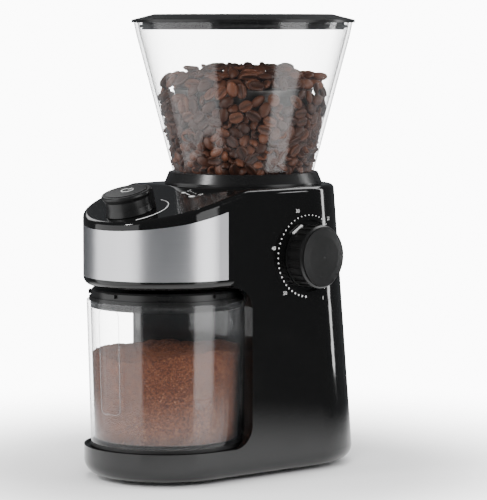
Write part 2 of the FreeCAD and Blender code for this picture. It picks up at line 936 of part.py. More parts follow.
def make_selector():
    pocket_floor = s.knob_height - 1.5 - 1.5 - s.button_travel
    rim = s.button_radius + s.fit_gap
    bore = s.selector_shaft_radius
    knob = turned(
        "selector_form",
        [
            (bore, s.loose_gap), (s.knob_radius - 0.6, s.loose_gap), (s.knob_waist, 4.5),
            (s.knob_waist + 0.1, 10), (s.knob_radius, s.knob_height - 1.8),
            (s.knob_radius, s.knob_height - 0.5), (s.knob_radius - 0.5, s.knob_height),
            (rim, s.knob_height), (rim, pocket_floor), (0, pocket_floor), (0, 9), (bore, 9),
        ],
        knob_place, knob_turn,
    )
    half = s.pointer_half_width
    pointer = block("selector_pointer", s.button_radius + 0.3, s.knob_radius + s.pointer_reach,
                    -half, half, s.loose_gap, s.knob_height - 0.4, knob_place,
                    knob_turn * Rotation(Vector(0, 0, 1), pointer_angle))
    node(fused("selector_knob", knob, pointer))
    button_low = pocket_floor + s.button_travel + 0.1
    node(turned(
        "start_button",
        [
            (0, button_low), (s.button_radius, button_low), (s.button_radius, s.knob_height),
            (s.button_radius - 0.6, s.knob_height + 0.4), (0, s.knob_height + 0.7),
        ],
        knob_place, knob_turn,
    ))
    node(tube("selector_shaft", 0, bore, -6, 9, knob_place, knob_turn))
    node(tube("selector_encoder", bore + 0.05, 8, -9.5, -3.2, knob_place, knob_turn))
    board = block("control_board_form", -20, 20, -13, 14, -11.1, -9.5, knob_place, knob_turn)
    chip = block("control_chip", 9, 16, -9, 6, -14, -11.1, knob_place, knob_turn)
    node(fused("control_board", board, chip))


def make_dial():
    gap = s.loose_gap
    depth = s.dial_face - s.dial_floor
    knob = turned(
        "dial_form",
        [
            (0, gap), (s.dial_radius, gap), (s.dial_radius, depth - 3),
            (s.dial_radius - 1.1, depth - 1.9), (s.dial_radius - 1.6, depth - 1.9), (0, depth - 1.9),
        ],
        dial_place, dial_turn,
    )
    grooves = body("dial_grooves", dial_place, dial_turn)
    drawing = sketch(grooves, height=gap + 2)
    half = s.dial_rib_width / 2
    rectangle(drawing, s.dial_radius - s.dial_rib_depth, -half, s.dial_radius + 2, half)
    groove = pad(grooves, drawing, depth - 6.5)
    around(grooves, groove, drawing, s.dial_ribs)
    shaft_hole = tube("dial_knob_hole", 0, s.dial_shaft_radius, -1, depth - 5, dial_place, dial_turn)
    marker_slot = dial_marker("dial_marker_slot", 0)
    node(cut("dial_knob", knob, grooves, shaft_hole, marker_slot))
    node(dial_marker("dial_indicator", 0))
    cap_radius = s.dial_radius - 1.7
    node(turned(
        "dial_cap",
        [
            (0, depth - 1.9), (cap_radius, depth - 1.9), (cap_radius, depth - 0.9),
            (cap_radius * 0.7, depth - 0.35), (0, depth),
        ],
        dial_place, dial_turn,
    ))
    node(tube("dial_shaft", 0, s.dial_shaft_radius, pinion_out - s.ring_face_width - 1 - s.dial_floor,
              depth - 5, dial_place, dial_turn))
    node(turned(
        "dial_bush",
        [
            (s.dial_shaft_radius + 0.05, -s.wall - 3), (s.dial_shaft_radius + 5, -s.wall - 3),
            (s.dial_shaft_radius + 5, -s.wall), (s.dial_shaft_radius + 2.95, -s.wall),
            (s.dial_shaft_radius + 2.95, 0), (s.dial_shaft_radius + 0.05, 0),
        ],
        dial_place, dial_turn,
    ))


def dial_marker(label, grow):
    """The pale stripe at the dial's rear edge that points to a setting."""
    turn = dial_turn * Rotation(Vector(0, 0, 1), 120)
    return block(label, s.dial_radius - 1.4, s.dial_radius + 0.5, -5, 5, s.loose_gap + 0.2,
                 s.loose_gap + 1.8, dial_place, turn)


def tooth_points(module, teeth, thinning):
    """Half of one involute tooth, as (radius, half angle) from root to tip."""
    pitch = module * teeth / 2
    pressure = math.radians(20)
    base = pitch * math.cos(pressure)
    tip = pitch + module
    low = max(base, pitch - 1.15 * module)
    half = math.pi / (2 * teeth) - thinning / (2 * pitch)
    spread = math.tan(pressure) - pressure
    points = []
    for step in range(5):
        radius = low + (tip - low) * step / 4
        angle = math.acos(base / radius)
        points.append((radius, half + spread - (math.tan(angle) - angle)))
    return points, pitch - 1.25 * module


def gear(module, teeth, low, high, bore, phase, thinning):
    """A straight involute gear with one tooth centred on the phase angle."""
    flank, root_radius = tooth_points(module, teeth, thinning)
    spots = []
    pitch_angle = 2 * math.pi / teeth

    def at(radius, angle):
        return Vector(radius * math.cos(angle), radius * math.sin(angle), low)

    edges = []
    for number in range(teeth):
        centre = phase + number * pitch_angle
        rising = [at(root_radius, centre - flank[0][1])] + [at(r, centre - a) for r, a in flank]
        falling = [at(r, centre + a) for r, a in reversed(flank)]
        falling.append(at(root_radius, centre + flank[0][1]))
        following = centre + pitch_angle
        spots += rising + falling
        spots.append(at(root_radius, (centre + following) / 2))
    spots.append(spots[0])
    face = Part.Face(Part.makePolygon(spots))
    shape = face.extrude(Vector(0, 0, high - low))
    if bore:
        shape = shape.cut(Part.makeCylinder(bore, high - low + 2, Vector(0, 0, low - 1)))
    return shape


def meshing_phase(angle, phase, teeth, other_teeth):
    """The phase of a gear at this angle from another, so that its gap meets a tooth."""
    return angle + math.pi - (phase - angle) * teeth / other_teeth - math.pi / other_teeth


def make_adjusting_gears():
    module = s.adjust_module.value
    teeth = int(s.dial_teeth.value)
    bore = s.dial_shaft_radius.value
    low = (pinion_out - s.ring_face_width - s.dial_floor).value
    high = (pinion_out - s.dial_floor).value
    pinion = gear(module, teeth, low, high, bore, math.pi / 2, s.backlash.value)
    node(solid_feature("dial_pinion", pinion, dial_place, dial_turn))
    pitch_plane = (s.dial_height + s.adjust_module * s.dial_teeth / 2).value
    outer = (s.adjust_module * s.ring_teeth / 2 + s.ring_face_width / 2).value
    inner = (s.carrier_radius + 0.02).value
    root_plane = pitch_plane + 1.25 * module
    thickness = s.ring_thickness.value
    ring = Part.makeCylinder(outer, thickness, Vector(0, 0, root_plane))
    ring = ring.cut(Part.makeCylinder(inner, thickness + 2, Vector(0, 0, root_plane - 1)))
    half = math.pi * module / 4 - s.backlash.value / 2
    lean = math.tan(math.radians(20))
    tip, foot = half - lean * module, half + lean * 1.25 * module
    width = s.ring_face_width.value
    outline = [
        Vector(outer - width, -foot, root_plane + 0.2), Vector(outer - width, foot, root_plane + 0.2),
        Vector(outer - width, foot, root_plane), Vector(outer - width, tip, pitch_plane - module),
        Vector(outer - width, -tip, pitch_plane - module), Vector(outer - width, -foot, root_plane),
    ]
    tooth = Part.Face(Part.makePolygon(outline + outline[:1])).extrude(Vector(width - 0.15, 0, 0))
    count = int(s.ring_toothed.value)
    step = 360 / s.ring_teeth.value
    shapes = []
    for number in range(count):
        turned_tooth = tooth.copy()
        angle = step * (number - count / 2 + 0.5)
        turned_tooth.rotate(Vector(0, 0, 0), Vector(0, 0, 1), angle)
        shapes.append(turned_tooth)
    node(solid_feature("adjusting_ring", ring.fuse(shapes).removeSplitter(), hopper_axis))


def make_chamber():
    inner = s.chamber_radius
    outer = inner + s.chamber_wall
    floor_top = s.chamber_bottom + s.chamber_floor
    cup = turned(
        "chamber_form",
        [
            (s.journal_radius + 3.5, s.chamber_bottom), (outer, s.chamber_bottom),
            (outer, s.chamber_top - s.chamber_flange),
            (s.chamber_flange_radius, s.chamber_top - s.chamber_flange),
            (s.chamber_flange_radius, s.chamber_top), (inner, s.chamber_top),
            (inner, floor_top), (s.journal_radius + 3.5, floor_top),
        ],
        hopper_axis,
    )
    window = block("chamber_window", -s.chute_half_width, s.chute_half_width,
                   s.hopper_centre - outer - 5, s.hopper_centre - 20, floor_top, floor_top + 10)
    node(cut("grind_chamber", cup, window))
    front = s.front_centre + s.chute_front
    back = front + s.chute_length + 2 * s.chute_wall
    rear = s.hopper_centre - 20
    low = s.cap_height + 0.5
    top = floor_top + 13
    outside = profile_block(
        "chute_outside",
        [
            (front, s.chamber_bottom), (front, floor_top + 5), (back - 4, top), (rear, top),
            (rear, s.chamber_bottom),
        ],
        2 * (s.chute_half_width + s.chute_wall),
    )
    spout = block("chute_spout", -(s.chute_half_width + s.chute_wall),
                  s.chute_half_width + s.chute_wall, front, back, low, s.chamber_bottom + 1)
    inside = profile_block(
        "chute_inside",
        [
            (front + s.chute_wall, low - 1), (front + s.chute_wall, floor_top + 4),
            (back - 4, top - s.chute_wall), (rear + 1, top - s.chute_wall), (rear + 1, floor_top),
            (back - s.chute_wall, s.chamber_bottom), (back - s.chute_wall, low - 1),
        ],
        2 * s.chute_half_width,
    )
    drum = tube("chute_drum", 0, outer + 0.02, s.chamber_bottom - 10, s.chamber_top + 10, hopper_axis)
    node(cut("discharge_chute", fused("chute_form", outside, spout), inside, drum))
    wide = s.collar_skirt_radius + 4.1
    guide_low = s.chamber_top + s.ring_thickness + 0.2
    hole = s.carrier_radius + 1
    cone = hole - 6.5
    guide = turned(
        "guide_form",
        [
            (wide - 2.5, s.deck_height - s.wall), (wide, s.deck_height - s.wall),
            (wide, guide_low), (hole, guide_low), (hole, guide_low + 2.4),
            (wide - 2.5, guide_low + 2.4), (wide - 2.5, s.deck_height - 9),
            (cone + 1.8, s.carrier_top + 2.3), (cone, s.carrier_top + 2.3),
            (cone, s.carrier_top + 4), (wide - 2.5, s.deck_height - 6),
        ],
        hopper_axis,
    )
    node(common("throat_guide", guide, deck_line_block("guide_top", s.wall)))


def make_burrs():
    low = s.burr_bottom
    cone_low, cone_top = s.cone_burr_radius, s.cone_burr_top_radius
    cone = turned(
        "cone_burr_form",
        [
            (s.shaft_radius, low), (cone_low - 1, low), (cone_low, low + 1.5),
            (cone_top, low + s.cone_burr_height), (s.shaft_radius, low + s.cone_burr_height),
        ],
        hopper_axis,
    )
    cone_cuts = burr_cuts("cone_burr_cuts", cone_low - 1.2, 14, low - 1, s.cone_burr_height + 3, 12)
    node(cut("inner_burr", cone, cone_cuts))
    inside_low = s.cone_burr_radius + s.burr_space
    ring_low = low + 1
    ring = turned(
        "ring_burr_form",
        [
            (inside_low, ring_low), (s.ring_burr_radius, ring_low),
            (s.ring_burr_radius, ring_low + s.ring_burr_height),
            (inside_low + 2.6, ring_low + s.ring_burr_height),
        ],
        hopper_axis,
    )
    ring_cuts = burr_cuts("ring_burr_cuts", inside_low - 3, inside_low + 3, ring_low + 4,
                          s.ring_burr_height + 2, 14)
    node(cut("outer_burr", ring, ring_cuts))
    top = s.carrier_top
    hold = s.ring_burr_radius + 0.02
    over = ring_low + s.ring_burr_height
    skirt = s.chamber_radius - 0.6
    seat = s.chamber_top + s.carrier_lift
    carrier = turned(
        "carrier_form",
        [
            (skirt, ring_low), (skirt, seat), (s.carrier_radius, seat),
            (s.carrier_radius, top - 4), (s.carrier_radius - 6.2, top), (hold - 0.5, top),
            (inside_low + 2.6, over), (hold, over), (hold, ring_low),
        ],
        hopper_axis,
    )
    node(fused("burr_carrier", carrier, bail_ears()))


def burr_cuts(label, inner, outer, low, height, count):
    """Straight grinding grooves round a burr, cut on a slight skew."""
    grooves = body(label, hopper_axis)
    drawing = sketch(grooves, height=low)
    near, far = sorted((as_size(inner), as_size(outer)), key=float)
    polygon(drawing, [(near, -1.4), (far + 3, 0.6), (far + 3, 1.4), (near, 1.0)])
    groove = pad(grooves, drawing, height)
    around(grooves, groove, drawing, count)
    return grooves


def bail_ears():
    """Two ears on the carrier, bored for the bail's ends."""
    inside = s.bail_half_width + s.bail_wire + s.fit_gap
    outside = inside + s.ear_thickness
    low, high = s.carrier_top - s.ear_root, bail_height + s.bail_wire + s.ear_cover
    length = s.ear_half_length
    form = block("ear_form", -outside, outside, -length, length, low, high, hopper_axis)
    gap = block("ear_gap", -inside, inside, -length - 1, length + 1, low - 1, high + 1, hopper_axis)
    bore = tube("ear_bore", 0, s.bail_wire + s.fit_gap, -outside - 1, outside + 1,
                (0, s.hopper_centre, bail_height), Rotation(Vector(0, 1, 0), 90))
    return cut("bail_ears", form, gap, bore)


def make_bail_handle():
    """A bent wire bail, hinged on the carrier, for lifting the upper burr out."""
    reach, corner, wire = bail_reach.value, s.bail_corner.value, s.bail_wire.value
    half = s.bail_half_width.value
    pivot = (s.bail_wire + s.fit_gap + s.ear_thickness).value
    run = [
        Vector(half, 0, 0), Vector(half, -reach + corner, 0),
        Vector(half - corner * (1 - math.sqrt(0.5)), -reach + corner * (1 - math.sqrt(0.5)), 0),
        Vector(half - corner, -reach, 0), Vector(corner - half, -reach, 0),
        Vector(corner * (1 - math.sqrt(0.5)) - half, -reach + corner * (1 - math.sqrt(0.5)), 0),
        Vector(-half, -reach + corner, 0), Vector(-half, 0, 0),
    ]
    path = Part.Wire([
        Part.LineSegment(run[0], run[1]).toShape(), Part.Arc(run[1], run[2], run[3]).toShape(),
        Part.LineSegment(run[3], run[4]).toShape(), Part.Arc(run[4], run[5], run[6]).toShape(),
        Part.LineSegment(run[6], run[7]).toShape(),
    ])
    ring = Part.Wire(Part.makeCircle(wire, run[0], Vector(0, 1, 0)))
    bail = path.makePipeShell([ring], True, False)
    ends = []
    for side in (-1, 1):
        corner_at = Vector(side * half, 0, 0)
        ends.append(Part.makeSphere(wire, corner_at))
        ends.append(Part.makeCylinder(wire, pivot, corner_at, Vector(side, 0, 0)))
    bail = bail.fuse(ends).removeSplitter()
    node(solid_feature("bail_handle", bail, (0, s.hopper_centre, bail_height)))


def make_rotating_stack():
    shaft_low = gearbox_low + s.case_wall + 1
    seat = s.chamber_bottom + s.chamber_floor
    node(turned(
        "drive_shaft",
        [
            (0, shaft_low), (s.journal_radius, shaft_low), (s.journal_radius, seat + 2),
            (s.shaft_radius, seat + 2), (s.shaft_radius, s.shaft_top), (0, s.shaft_top),
        ],
        hopper_axis,
    ))
    hub = tube("sweeper_hub", s.shaft_radius, s.shaft_radius + 6, seat + 2, s.burr_bottom, hopper_axis)
    disc = tube("sweeper_disc", s.shaft_radius, s.chamber_radius - 1.5, seat + 1.4, seat + 3.4,
                hopper_axis)
    vanes = body("sweeper_vanes", hopper_axis)
    drawing = sketch(vanes, height=seat + 3)
    rectangle(drawing, s.shaft_radius + 4, -1, s.chamber_radius - 1.6, 1)
    vane = pad(vanes, drawing, s.burr_bottom - seat - 3 - 1.2)
    around(vanes, vane, drawing, 4)
    bore = tube("sweeper_bore", 0, s.shaft_radius, seat, s.burr_bottom + 1, hopper_axis)
    node(cut("sweeper", fused("sweeper_form", hub, disc, vanes), bore))
    nut_low = s.burr_bottom + s.cone_burr_height
    node(hexagon("burr_nut", 7.5, nut_low, s.shaft_top, s.shaft_radius, hopper_axis))


def hexagon(label, across, low, high, bore, at):
    item = body(label, at)
    drawing = sketch(item, height=low)
    corners = [
        (across * math.cos(math.radians(60 * n)), across * math.sin(math.radians(60 * n)))
        for n in range(6)
    ]
    polygon(drawing, corners)
    circle(drawing, 0, 0, bore)
    pad(item, drawing, as_size(high) - low)
    return item


def make_gear_train():
    module, play = s.gear_module.value, s.gear_backlash.value
    motor_n, big_n = int(s.motor_teeth.value), int(s.idler_big_teeth.value)
    small_n, final_n = int(s.idler_small_teeth.value), int(s.final_teeth.value)
    floor = (gearbox_low + s.case_wall).value
    to_idler = math.atan2(idler_along.value - s.motor_offset.value, idler_across.value)
    from_idler = math.atan2(-idler_along.value, -idler_across.value)
    big_low, small_low = floor + 3, floor + 9.5
    pinion = gear(module, motor_n, big_low - 1, big_low + 6.5, s.motor_shaft_radius.value, 0, play)
    node(solid_feature("motor_pinion", pinion, motor_axis))
    big_phase = meshing_phase(to_idler, 0, motor_n, big_n)
    big = gear(module, big_n, big_low, big_low + 5, 2, big_phase, play)
    small = gear(module, small_n, big_low + 5, small_low + 7.5, 2, 0, play)
    node(solid_feature("idler_gear", big.fuse(small).removeSplitter(), idler_axis))
    final_phase = meshing_phase(from_idler, 0, small_n, final_n)
    final = gear(module, final_n, small_low + 0.5, small_low + 6.5, s.journal_radius.value,
                 final_phase, play)
    node(solid_feature("final_gear", final, hopper_axis))
    node(tube("idler_axle", 0, 1.95, gearbox_low + s.case_wall, gearbox_low + s.case_height - 2,
              idler_axis))


def make_gearbox():
    floor = gearbox_low
    top = floor + s.case_height
    wall = s.case_wall
    left, right = -16.5, idler_across + 14.8
    front, back = s.hopper_centre - 14.4, motor_centre + 7
    outside = block("case_outside", left, right, front, back, floor, top - 2)
    inside = block("case_inside", as_size(left) + wall, right - wall, front + wall - 0.4,
                   back - wall, floor + wall, top)
    motor_hole = tube("case_motor_hole", 0, 5.2, floor - 1, floor + 4, motor_axis)
    shaft_hole = tube("case_shaft_hole", 0, 2, floor - 1, floor + 0.5, hopper_axis)
    node(cut("gearbox_case", outside, inside, motor_hole, shaft_hole))
    lid = block("case_lid", left, right, front, back, top - 2, top)
    lid_hole = tube("lid_hole", 0, s.journal_radius + 3, top - 3, top + 1, hopper_axis)
    node(cut("gearbox_cover", lid, lid_hole))
    node(tube("shaft_housing", s.journal_radius + 3.2, s.journal_radius + 6, top,
              s.chamber_bottom, hopper_axis))
    lower = tube("bearing_low", s.journal_radius + 0.05, s.journal_radius + 3, top - 2, top + 3,
                 hopper_axis)
    upper = tube("bearing_high", s.journal_radius + 0.05, s.journal_radius + 3.15,
                 s.chamber_bottom - 4, s.chamber_bottom + 2, hopper_axis)
    node(fused("shaft_bearings", lower, upper))


def make_motor():
    low, high = s.motor_bottom, s.motor_top
    wall = s.motor_wall
    shaft = s.motor_shaft_radius
    node(turned(
        "motor_can",
        [
            (s.motor_radius - wall, low), (s.motor_radius, low), (s.motor_radius, high),
            (shaft + 1.5, high), (shaft + 1.5, high - wall), (s.motor_radius - wall, high - wall),
        ],
        motor_axis,
    ))
    node(turned(
        "motor_end_cap",
        [
            (shaft + 0.05, low - 3), (s.motor_radius, low - 3), (s.motor_radius, low),
            (shaft + 4, low), (shaft + 4, low + 4), (shaft + 0.05, low + 4),
        ],
        motor_axis,
    ))
    magnet_ring = tube("magnet_ring", 19.5, s.motor_radius - wall - 0.05, low + 8, high - 10,
                       motor_axis)
    gap = block("magnet_gap", -40, 40, motor_centre - 6, motor_centre + 6, low, high)
    node(cut("motor_magnets", magnet_ring, gap))
    node(turned(
        "motor_rotor",
        [
            (0, low - 9), (shaft, low - 9), (shaft, low + 6), (8, low + 6), (8, low + 12),
            (18.5, low + 12), (18.5, high - 14), (shaft, high - 14), (shaft, gearbox_low + 12),
            (0, gearbox_low + 12),
        ],
        motor_axis,
    ))
    blades = body("fan_blades", motor_axis)
    drawing = sketch(blades, height=low - 8.5)
    rectangle(drawing, 5, -0.7, 24, 0.7)
    blade = pad(blades, drawing, 4)
    around(blades, blade, drawing, 9)
    fan_hub = tube("fan_hub", shaft, 6, low - 9, low - 4, motor_axis)
    fan_disc = tube("fan_disc", shaft, 24, low - 9, low - 8, motor_axis)
    node(fused("cooling_fan", fan_hub, fan_disc, blades))
    plate = block("chassis_plate", -44, 44, motor_centre - 34, motor_centre + 32, high,
                  high + s.chassis_thickness)
    bore = tube("chassis_bore", 0, shaft + 5, high - 1, high + 10, motor_axis)
    posts = [
        tube(f"chassis_post{n}", 0, 4, plate_top, high, (x, motor_centre + y, 0))
        for n, (x, y) in enumerate(((-38, -27), (38, -27), (-38, 10), (38, 10)))
    ]
    node(cut("chassis", fused("chassis_form", plate, *posts), bore))


def make_electronics():
    back = motor_centre + 34
    node(block("power_board", -30, 30, back, back + 1.6, plate_top, 66))
    face = back + 1.6
    can = tube("capacitor_form", 0, 6, 0, 9.5, (-14, face, 50), Rotation(Vector(1, 0, 0), -90))
    relay = block("relay_form", 2, 20, face, face + 9, 42, 54)
    plug = block("connector_form", -24, 24, face, face + 8, 14, 22)
    node(fused("board_components", can, relay, plug))
    wall = s.front_centre + s.bay_radius + s.wall
    node(block("container_switch", -5, 5, wall + 0.1, wall + 7, 48, 68))
    guide = s.hopper_centre - s.collar_skirt_radius - 4.1
    node(block("hopper_switch", -8, 8, guide - 8, guide - 0.1, 174, 186))



node(make_housing())
node(make_steel_band())
node(make_top_deck())
node(make_base_plate())
make_feet()
node(make_base_screws())
node(make_cord_gland())
make_hopper()
make_hopper_lid()
make_container()
make_selector()
make_dial()
make_adjusting_gears()
make_chamber()
make_burrs()
make_bail_handle()
make_rotating_stack()
make_gear_train()
make_gearbox()
make_motor()
make_electronics()


def check_and_write():
    document.recompute()
    os.makedirs("parts", exist_ok=True)
    for item in document.Objects:
        for state in ("Invalid", "Error"):
            if state in item.State:
                raise RuntimeError(f"{item.Name} is {state}")
    for name, item in parts.items():
        shape = item.Shape
        if shape.isNull() or not shape.isValid():
            raise RuntimeError(f"{name} has no valid shape")
        shape.exportStep(f"parts/{name}.step")
        print(f"{name}: {shape.Volume:.0f} mm3, {len(shape.Solids)} solid(s)")


check_and_write()
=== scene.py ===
"""Looks of a burr coffee grinder, laid over its fixed frame.

The frame is in metres. Sizes and places worked out here are in millimetres, and MM turns them
into metres. Lights, the camera and the floor are placed in metres.
"""

import json
import math

import bpy
import numpy as np
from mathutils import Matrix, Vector, noise
from mathutils.bvhtree import BVHTree


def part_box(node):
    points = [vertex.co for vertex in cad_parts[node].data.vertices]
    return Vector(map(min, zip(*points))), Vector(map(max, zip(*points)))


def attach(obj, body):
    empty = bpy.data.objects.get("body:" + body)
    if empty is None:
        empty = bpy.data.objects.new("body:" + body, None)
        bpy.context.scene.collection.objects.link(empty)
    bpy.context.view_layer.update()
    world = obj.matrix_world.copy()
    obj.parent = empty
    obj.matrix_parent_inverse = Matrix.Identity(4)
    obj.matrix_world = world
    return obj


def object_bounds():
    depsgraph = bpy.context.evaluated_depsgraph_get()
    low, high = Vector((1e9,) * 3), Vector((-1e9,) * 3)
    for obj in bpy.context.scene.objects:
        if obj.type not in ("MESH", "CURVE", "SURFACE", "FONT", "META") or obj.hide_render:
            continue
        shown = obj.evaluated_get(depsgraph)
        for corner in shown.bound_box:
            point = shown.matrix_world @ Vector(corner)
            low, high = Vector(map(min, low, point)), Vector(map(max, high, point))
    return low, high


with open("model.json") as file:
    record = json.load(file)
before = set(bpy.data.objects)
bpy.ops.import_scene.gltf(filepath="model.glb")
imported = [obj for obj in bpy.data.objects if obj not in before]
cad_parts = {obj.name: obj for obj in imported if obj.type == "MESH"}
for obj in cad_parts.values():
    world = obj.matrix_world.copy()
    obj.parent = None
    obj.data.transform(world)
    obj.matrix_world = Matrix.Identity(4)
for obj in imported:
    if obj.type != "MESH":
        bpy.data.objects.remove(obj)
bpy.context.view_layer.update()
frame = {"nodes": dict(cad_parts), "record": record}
MM = 0.001


# ---------------------------------------------------------------- shader maths

class Tone:
    """One output of a material's nodes. Arithmetic on it adds the Math nodes that it needs."""

    def __init__(self, recipe, socket):
        self.recipe = recipe
        self.socket = socket

    def maths(self, operation, *terms, clamp=False):
        settings = {"operation": operation, "use_clamp": clamp}
        return self.recipe.node("Math", settings, dict(enumerate(terms)))

    def __add__(self, other):
        return self.maths("ADD", self, other)

    def __sub__(self, other):
        return self.maths("SUBTRACT", self, other)

    def __rsub__(self, other):
        return self.maths("SUBTRACT", other, self)

    def __mul__(self, other):
        return self.maths("MULTIPLY", self, other)

    def __pow__(self, other):
        return self.maths("POWER", self, other)

    __radd__ = __add__
    __rmul__ = __mul__

    def clipped(self):
        return self.maths("ADD", self, 0, clamp=True)

    def ramp(self, low, high, start=0.0, end=1.0):
        """start up to low, end from high on, and a smooth rise between."""
        values = {"Value": self, 1: low, 2: high, 3: start, 4: end}
        return self.recipe.node("MapRange", {"interpolation_type": "SMOOTHSTEP"}, values)


class Recipe:
    """A material while its nodes are being joined up."""

    def __init__(self, name):
        self.material = bpy.data.materials.new(name)
        self.material.use_nodes = True
        self.tree = self.material.node_tree
        self.tree.nodes.clear()
        self.place = self.node("TexCoord", {}, {}, "Object")

    def node(self, kind, settings, values, output=0):
        made = self.tree.nodes.new("ShaderNode" + kind)
        for name, value in settings.items():
            if name == "stops":
                self.set_stops(made.color_ramp, value)
            else:
                setattr(made, name, value)
        for name, value in values.items():
            socket = made.inputs[name]
            if isinstance(value, Tone):
                self.tree.links.new(value.socket, socket)
            elif value is not None:
                socket.default_value = value
        return Tone(self, made.outputs[output])

    @staticmethod
    def set_stops(ramp, stops):
        while len(ramp.elements) < len(stops):
            ramp.elements.new(1)
        for element, (position, colour) in zip(ramp.elements, stops):
            element.position = position
            element.color = (*colour, 1)

    def stretched(self, across, along, up, twist=0.0):
        """The place on the object, with each direction scaled in cycles per millimetre."""
        values = {"Vector": self.place, "Rotation": (0, 0, twist)}
        values["Scale"] = (across / MM, along / MM, up / MM)
        return self.node("Mapping", {}, values)

    def grain(self, size_mm, detail=2.0, rough=0.5):
        values = {"Vector": self.place, "Detail": detail, "Roughness": rough}
        values["Scale"] = 1 / (size_mm * MM)
        return self.node("TexNoise", {}, values)

    def streaks(self, across, along, up, detail=3.0, twist=0.0):
        """Noise pulled out into lines."""
        place = self.stretched(across, along, up, twist)
        values = {"Vector": place, "Scale": 1.0, "Detail": detail, "Roughness": 0.6}
        return self.node("TexNoise", {}, values)

    def cells(self, size_mm, feature="F1", output=0):
        """Voronoi cells: output 0 is the distance from each cell's middle, and 1 is its colour."""
        values = {"Vector": self.place, "Scale": 1 / (size_mm * MM)}
        return self.node("TexVoronoi", {"feature": feature}, values, output)

    def blended(self, amount, low, high):
        """The colour low where amount is 0, and high where it is 1."""
        settings = {"data_type": "RGBA"}
        values = {0: amount, 6: with_alpha(low), 7: with_alpha(high)}
        return self.node("Mix", settings, values, 2)

    def bumped(self, height, depth_mm, strength=1.0, below=None):
        values = {"Height": height, "Distance": depth_mm * MM, "Strength": strength}
        values["Normal"] = below
        return self.node("Bump", {}, values)

    def surface(self, **values):
        """A Principled surface, with its sockets named in lower case."""
        named = {name.replace("_", " ").title().replace("Ior", "IOR"): value
                 for name, value in values.items()}
        named["Base Color"] = with_alpha(named["Base Color"])
        return self.node("BsdfPrincipled", {}, named)

    def mixed(self, amount, first, second):
        return self.node("MixShader", {}, {0: amount, 1: first, 2: second})

    def done(self, shader):
        out = self.tree.nodes.new("ShaderNodeOutputMaterial")
        self.tree.links.new(shader.socket, out.inputs["Surface"])
        return self.material


def with_alpha(colour):
    return colour if isinstance(colour, Tone) or len(colour) == 4 else (*colour, 1)


def grey(level):
    return (level, level, level)


# ------------------------------------------------------------------- finishes

def gloss_black():
    """Polished black moulding: faint ripple, hair-fine rub marks and a little dust."""
    r = Recipe("gloss_black")
    ripple = r.grain(9, 1)
    rubs = r.streaks(0.02, 0.02, 2.2, 4, 0.4)
    smears = r.grain(38, 3)
    dust = r.cells(5.5, "F1").ramp(0.035, 0.05, 1, 0)
    base = r.blended(dust * 0.5, grey(0.0035), grey(0.05))
    rough = 0.07 + smears.ramp(0.45, 0.75) * 0.07 + rubs.ramp(0.55, 0.8) * 0.04 + dust * 0.2
    normal = r.bumped(ripple, 0.012, 0.5)
    return r.done(r.surface(
        base_color=base, roughness=rough, normal=normal, ior=1.5, specular_ior_level=0.5,
    ))


def lid_black():
    """Slightly softer black moulding."""
    r = Recipe("lid_black")
    grit = r.grain(0.35, 3)
    smears = r.grain(26, 2)
    base = r.blended(smears, grey(0.004), grey(0.008))
    rough = 0.2 + smears * 0.1 + grit * 0.06
    return r.done(r.surface(base_color=base, roughness=rough, normal=r.bumped(grit, 0.01, 0.3)))


def satin_black():
    """Fine spark-eroded knob texture."""
    r = Recipe("satin_black")
    grit = r.grain(0.22, 4, 0.7)
    wear = r.grain(14, 3)
    base = r.blended(wear, grey(0.004), grey(0.008))
    rough = 0.24 + grit * 0.14 + wear * 0.05
    return r.done(r.surface(base_color=base, roughness=rough, normal=r.bumped(grit, 0.02, 0.6)))


def matte_black():
    r = Recipe("matte_black")
    grit = r.cells(0.5, "SMOOTH_F1")
    patch = r.grain(30, 3)
    base = r.blended(patch, grey(0.008), grey(0.018))
    rough = 0.5 + patch * 0.14
    return r.done(r.surface(base_color=base, roughness=rough, normal=r.bumped(grit, 0.05, 0.6)))


def inner_black():
    """Plain moulded plastic out of sight, with flow lines."""
    r = Recipe("inner_black")
    flow = r.streaks(0.05, 0.05, 0.4, 3)
    grit = r.grain(0.6, 3)
    base = r.blended(flow, grey(0.008), grey(0.02))
    rough = 0.38 + flow * 0.2
    return r.done(r.surface(base_color=base, roughness=rough, normal=r.bumped(grit, 0.03, 0.4)))


def rubber():
    r = Recipe("rubber")
    grit = r.grain(0.3, 4, 0.7)
    dust = r.grain(5, 4).ramp(0.5, 0.75)
    base = r.blended(dust, grey(0.012), grey(0.045))
    rough = 0.75 + dust * 0.15
    return r.done(r.surface(base_color=base, roughness=rough, normal=r.bumped(grit, 0.05, 0.7)))


def brushed_band():
    """Stainless sheet brushed lengthwise, so its lines run round the head."""
    r = Recipe("brushed_band")
    coarse = r.streaks(0.012, 0.012, 1.6, 4)
    fine = r.streaks(0.03, 0.03, 7.0, 5)
    smears = r.grain(30, 2)
    lines = coarse * 0.2 + fine * 0.8
    base = r.blended(lines, (0.74, 0.74, 0.765), (0.92, 0.92, 0.945))
    rough = 0.27 + lines * 0.13 + smears * 0.04
    normal = r.bumped(lines, 0.02, 0.2)
    return r.done(r.surface(
        base_color=base, metallic=1.0, roughness=rough, normal=normal, anisotropic=0.6,
        anisotropic_rotation=0.25,
    ))


def zinc_steel():
    r = Recipe("zinc_steel")
    spangle = r.cells(4, "F1", 1)
    shade = r.node("RGBToBW", {}, {"Color": spangle})
    grit = r.grain(0.5, 3)
    base = r.blended(shade, (0.42, 0.43, 0.45), (0.62, 0.63, 0.66))
    rough = 0.32 + shade * 0.2
    return r.done(r.surface(
        base_color=base, metallic=1.0, roughness=rough, normal=r.bumped(grit, 0.01, 0.5),
    ))


